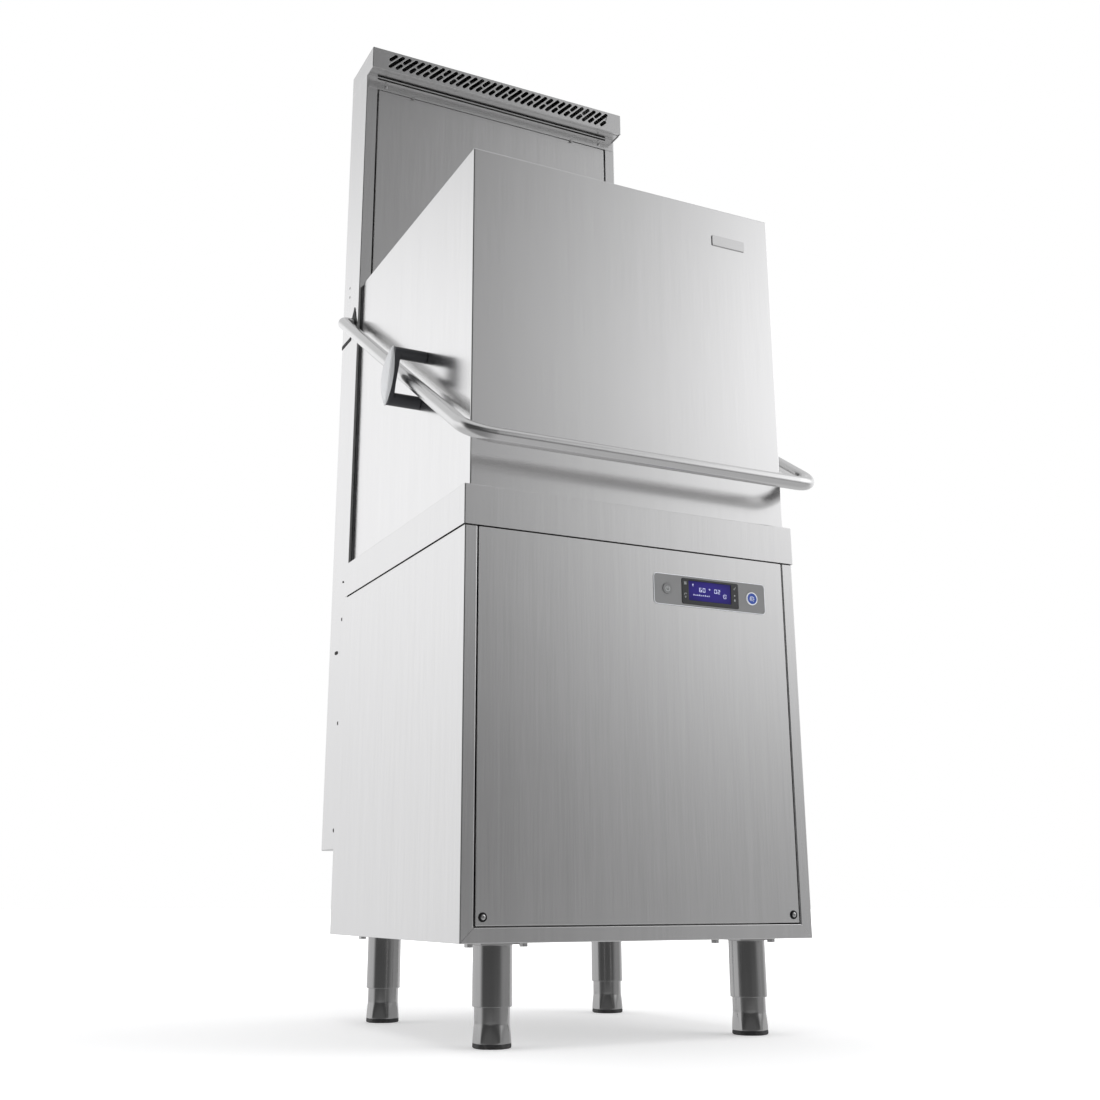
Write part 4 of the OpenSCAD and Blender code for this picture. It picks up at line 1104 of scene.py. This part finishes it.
def make_display():
    lo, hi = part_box("display_screen")
    y1, y0 = lo.y + 0.00005, lo.y - 0.00018
    w, h = hi.x - lo.x, hi.z - lo.z
    bm = bmesh.new()
    base = lo.z + h * 0.47
    size, wide = 0.0072, 0.0048
    for i, ch in enumerate("60"):
        digit(bm, ch, lo.x + w * 0.25 + i * 0.0070, base, wide, size, 0.00070, y0, y1)
    for i, ch in enumerate("02"):
        digit(bm, ch, lo.x + w * 0.61 + i * 0.0066, base, wide, size, 0.00070, y0, y1)
    stroke(bm, arc(lo.x + w * 0.495, base + size - 0.0012, 0.0011, 0, 356, 18), 0.0005, y0, y1)
    # progress bar, clock ring and a tap-like pointer
    for i in range(9):
        x = lo.x + w * 0.11 + i * 0.0038
        top = lo.z + h * 0.26 + (0.0024, 0.0016, 0.0020)[i % 3]
        prism(bm, round_rect(x, x + 0.0013, lo.z + h * 0.26, top, 0.0003, 3), y0, y1)
    cx, cz = lo.x + w * 0.86, lo.z + h * 0.36
    stroke(bm, arc(cx, cz, 0.0034, 20, 340, 26), 0.0006, y0, y1)
    stroke(bm, [(cx, cz + 0.0022), (cx, cz), (cx + 0.0016, cz - 0.0010)], 0.0005, y0, y1)
    px, pz = lo.x + w * 0.10, lo.z + h * 0.80
    prism(bm, [(px - 0.0004, pz), (px - 0.0004, pz - 0.0022), (px + 0.0004, pz - 0.0022),
               (px + 0.0004, pz), (px + 0.0016, pz + 0.0016), (px - 0.0016, pz + 0.0016)], y0, y1)
    outward(bm)
    marks = new_object("display_marks", bm, INK_LIGHT)
    place(marks, "display_screen")

    # touch marks on the bezel, left and right of the screen
    lo_b, hi_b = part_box("display_bezel")
    y1, y0 = lo_b.y + 0.00005, lo_b.y - 0.00012
    bm = bmesh.new()
    left = (lo_b.x + lo.x) / 2
    right = (hi_b.x + hi.x) / 2
    top = hi.z - 0.003
    for i in range(4):
        stroke(bm, [(left - 0.0024, top - i * 0.0013), (left + 0.0024, top - i * 0.0013)], 0.0006, y0, y1)
    low = lo.z + 0.009
    stroke(bm, arc(left, low, 0.0023, 200, 20, 14), 0.0006, y0, y1)
    stroke(bm, [(left - 0.0018, low - 0.0034), (left + 0.0018, low - 0.0034)], 0.0006, y0, y1)
    stroke(bm, [(left - 0.0012, low - 0.0052), (left + 0.0012, low - 0.0052)], 0.0006, y0, y1)
    tick = [(right - 0.0022, top - 0.0026), (right - 0.0004, top - 0.0044), (right + 0.0024, top + 0.0004)]
    stroke(bm, tick, 0.0007, y0, y1)
    mid = (lo.z + hi.z) / 2 - 0.001
    prism(bm, arc(right, mid, 0.0013, 0, 345, 18), y0, y1)
    drop = [(right, mid - 0.0052)] + arc(right, mid - 0.0088, 0.0014, 25, -205, 14)
    prism(bm, drop[::-1], y0, y1)
    outward(bm)
    icons = new_object("bezel_marks", bm, INK_GREY)
    place(icons, "display_bezel")


def make_fascia_border():
    lo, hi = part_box("control_fascia")
    y0, y1 = lo.y - 0.00025, lo.y + 0.0002
    bm = bmesh.new()
    outer = round_rect(lo.x + 0.0001, hi.x - 0.0001, lo.z + 0.0001, hi.z - 0.0001, 0.0068, 10)
    inner = round_rect(lo.x + 0.0010, hi.x - 0.0010, lo.z + 0.0010, hi.z - 0.0010, 0.0060, 10)
    mid_o = round_rect(lo.x + 0.0004, hi.x - 0.0004, lo.z + 0.0004, hi.z - 0.0004, 0.0065, 10)
    loops = []
    for pts, y in ((outer, y1), (outer, y0 + 0.0001), (mid_o, y0), (inner, y0 + 0.00006), (inner, y1)):
        loops.append([bm.verts.new((x, y, z)) for x, z in pts])
    n = len(outer)
    for k in range(5):
        a, b = loops[k], loops[(k + 1) % 5]
        for i in range(n):
            j = (i + 1) % n
            bm.faces.new((a[i], a[j], b[j], b[i]))
    outward(bm)
    ob = smooth(new_object("fascia_border", bm, INK_WHITE_PAINTED_GLOW))
    place(ob, "control_fascia")


def make_buttons():
    for node in ("power_button", "start_button"):
        lo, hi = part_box(node)
        r = (hi.x - lo.x) / 2
        cx, cz = (lo.x + hi.x) / 2, (lo.z + hi.z) / 2
        start = node == "start_button"
        cap = r if not start else r - 0.0017
        bm = bmesh.new()
        crown = 0.0002
        prof = [(0, hi.y - lo.y), (0.003, hi.y - lo.y), (0.003, 0.0042), (cap, 0.0042), (cap, 0.0009),
                (cap - 0.0002, 0.0005), (cap - 0.0007, crown)]
        prof += [(cap * k, crown + 0.00025 * (1 - k)) for k in (0.85, 0.6, 0.3)] + [(0, crown + 0.0003)]
        lathe(bm, prof, (cx, lo.y, cz), "y", 64)
        outward(bm)
        ob = smooth(new_object(node + "_finish", bm, MATS[SLOT_OF[node]]), 35)
        place(ob, node)
        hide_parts(node)
        bm = bmesh.new()
        y1, y0 = lo.y + 0.0006, lo.y + 0.00005
        if start:
            lathe(bm, [(r - 0.0018, 0.0040), (r, 0.0040), (r, 0.0006), (r - 0.0003, 0.0002),
                       (r - 0.0013, 0.0002), (r - 0.0018, 0.0006), (r - 0.0018, 0.0040)],
                  (cx, lo.y, cz), "y", 64)
            outward(bm)
            ring = smooth(new_object("start_button_ring", bm, INK_WHITE_PAINTED_GLOW), 35)
            place(ring, node)
            bm = bmesh.new()
            stroke(bm, arc(cx - 0.0004, cz - 0.0004, 0.0040, 100, 250, 16), 0.0009, y0, y1)
            stroke(bm, arc(cx - 0.0004, cz - 0.0004, 0.0020, 95, 255, 12), 0.0008, y0, y1)
            stroke(bm, [(cx - 0.0002, cz + 0.0036), (cx + 0.0040, cz + 0.0014)], 0.0009, y0, y1)
            stroke(bm, [(cx + 0.0006, cz), (cx + 0.0042, cz - 0.0018)], 0.0009, y0, y1)
            stroke(bm, [(cx, cz - 0.0032), (cx + 0.0028, cz - 0.0046)], 0.0009, y0, y1)
            name, mat, slot = "start_button_mark", INK_WHITE_PAINTED_GLOW, "button_blue"
        else:
            stroke(bm, arc(cx, cz - 0.0004, 0.0040, 122, 418, 30), 0.0011, y0, y1)
            stroke(bm, [(cx, cz + 0.0046), (cx, cz - 0.0002)], 0.0011, y0, y1)
            name, mat, slot = "power_button_mark", INK_GREY, "button_grey"
        outward(bm)
        place(new_object(name, bm, mat), node)


make_sheet_and_castings()
make_rear_cover()
make_panel_screws()
make_tower_screws()
make_strip_hooks()
make_gap_shade_strips()
make_handle()
make_yoke_caps()
make_feet()
make_springs()
make_display()
make_fascia_border()
make_buttons()

bpy.context.view_layer.update()
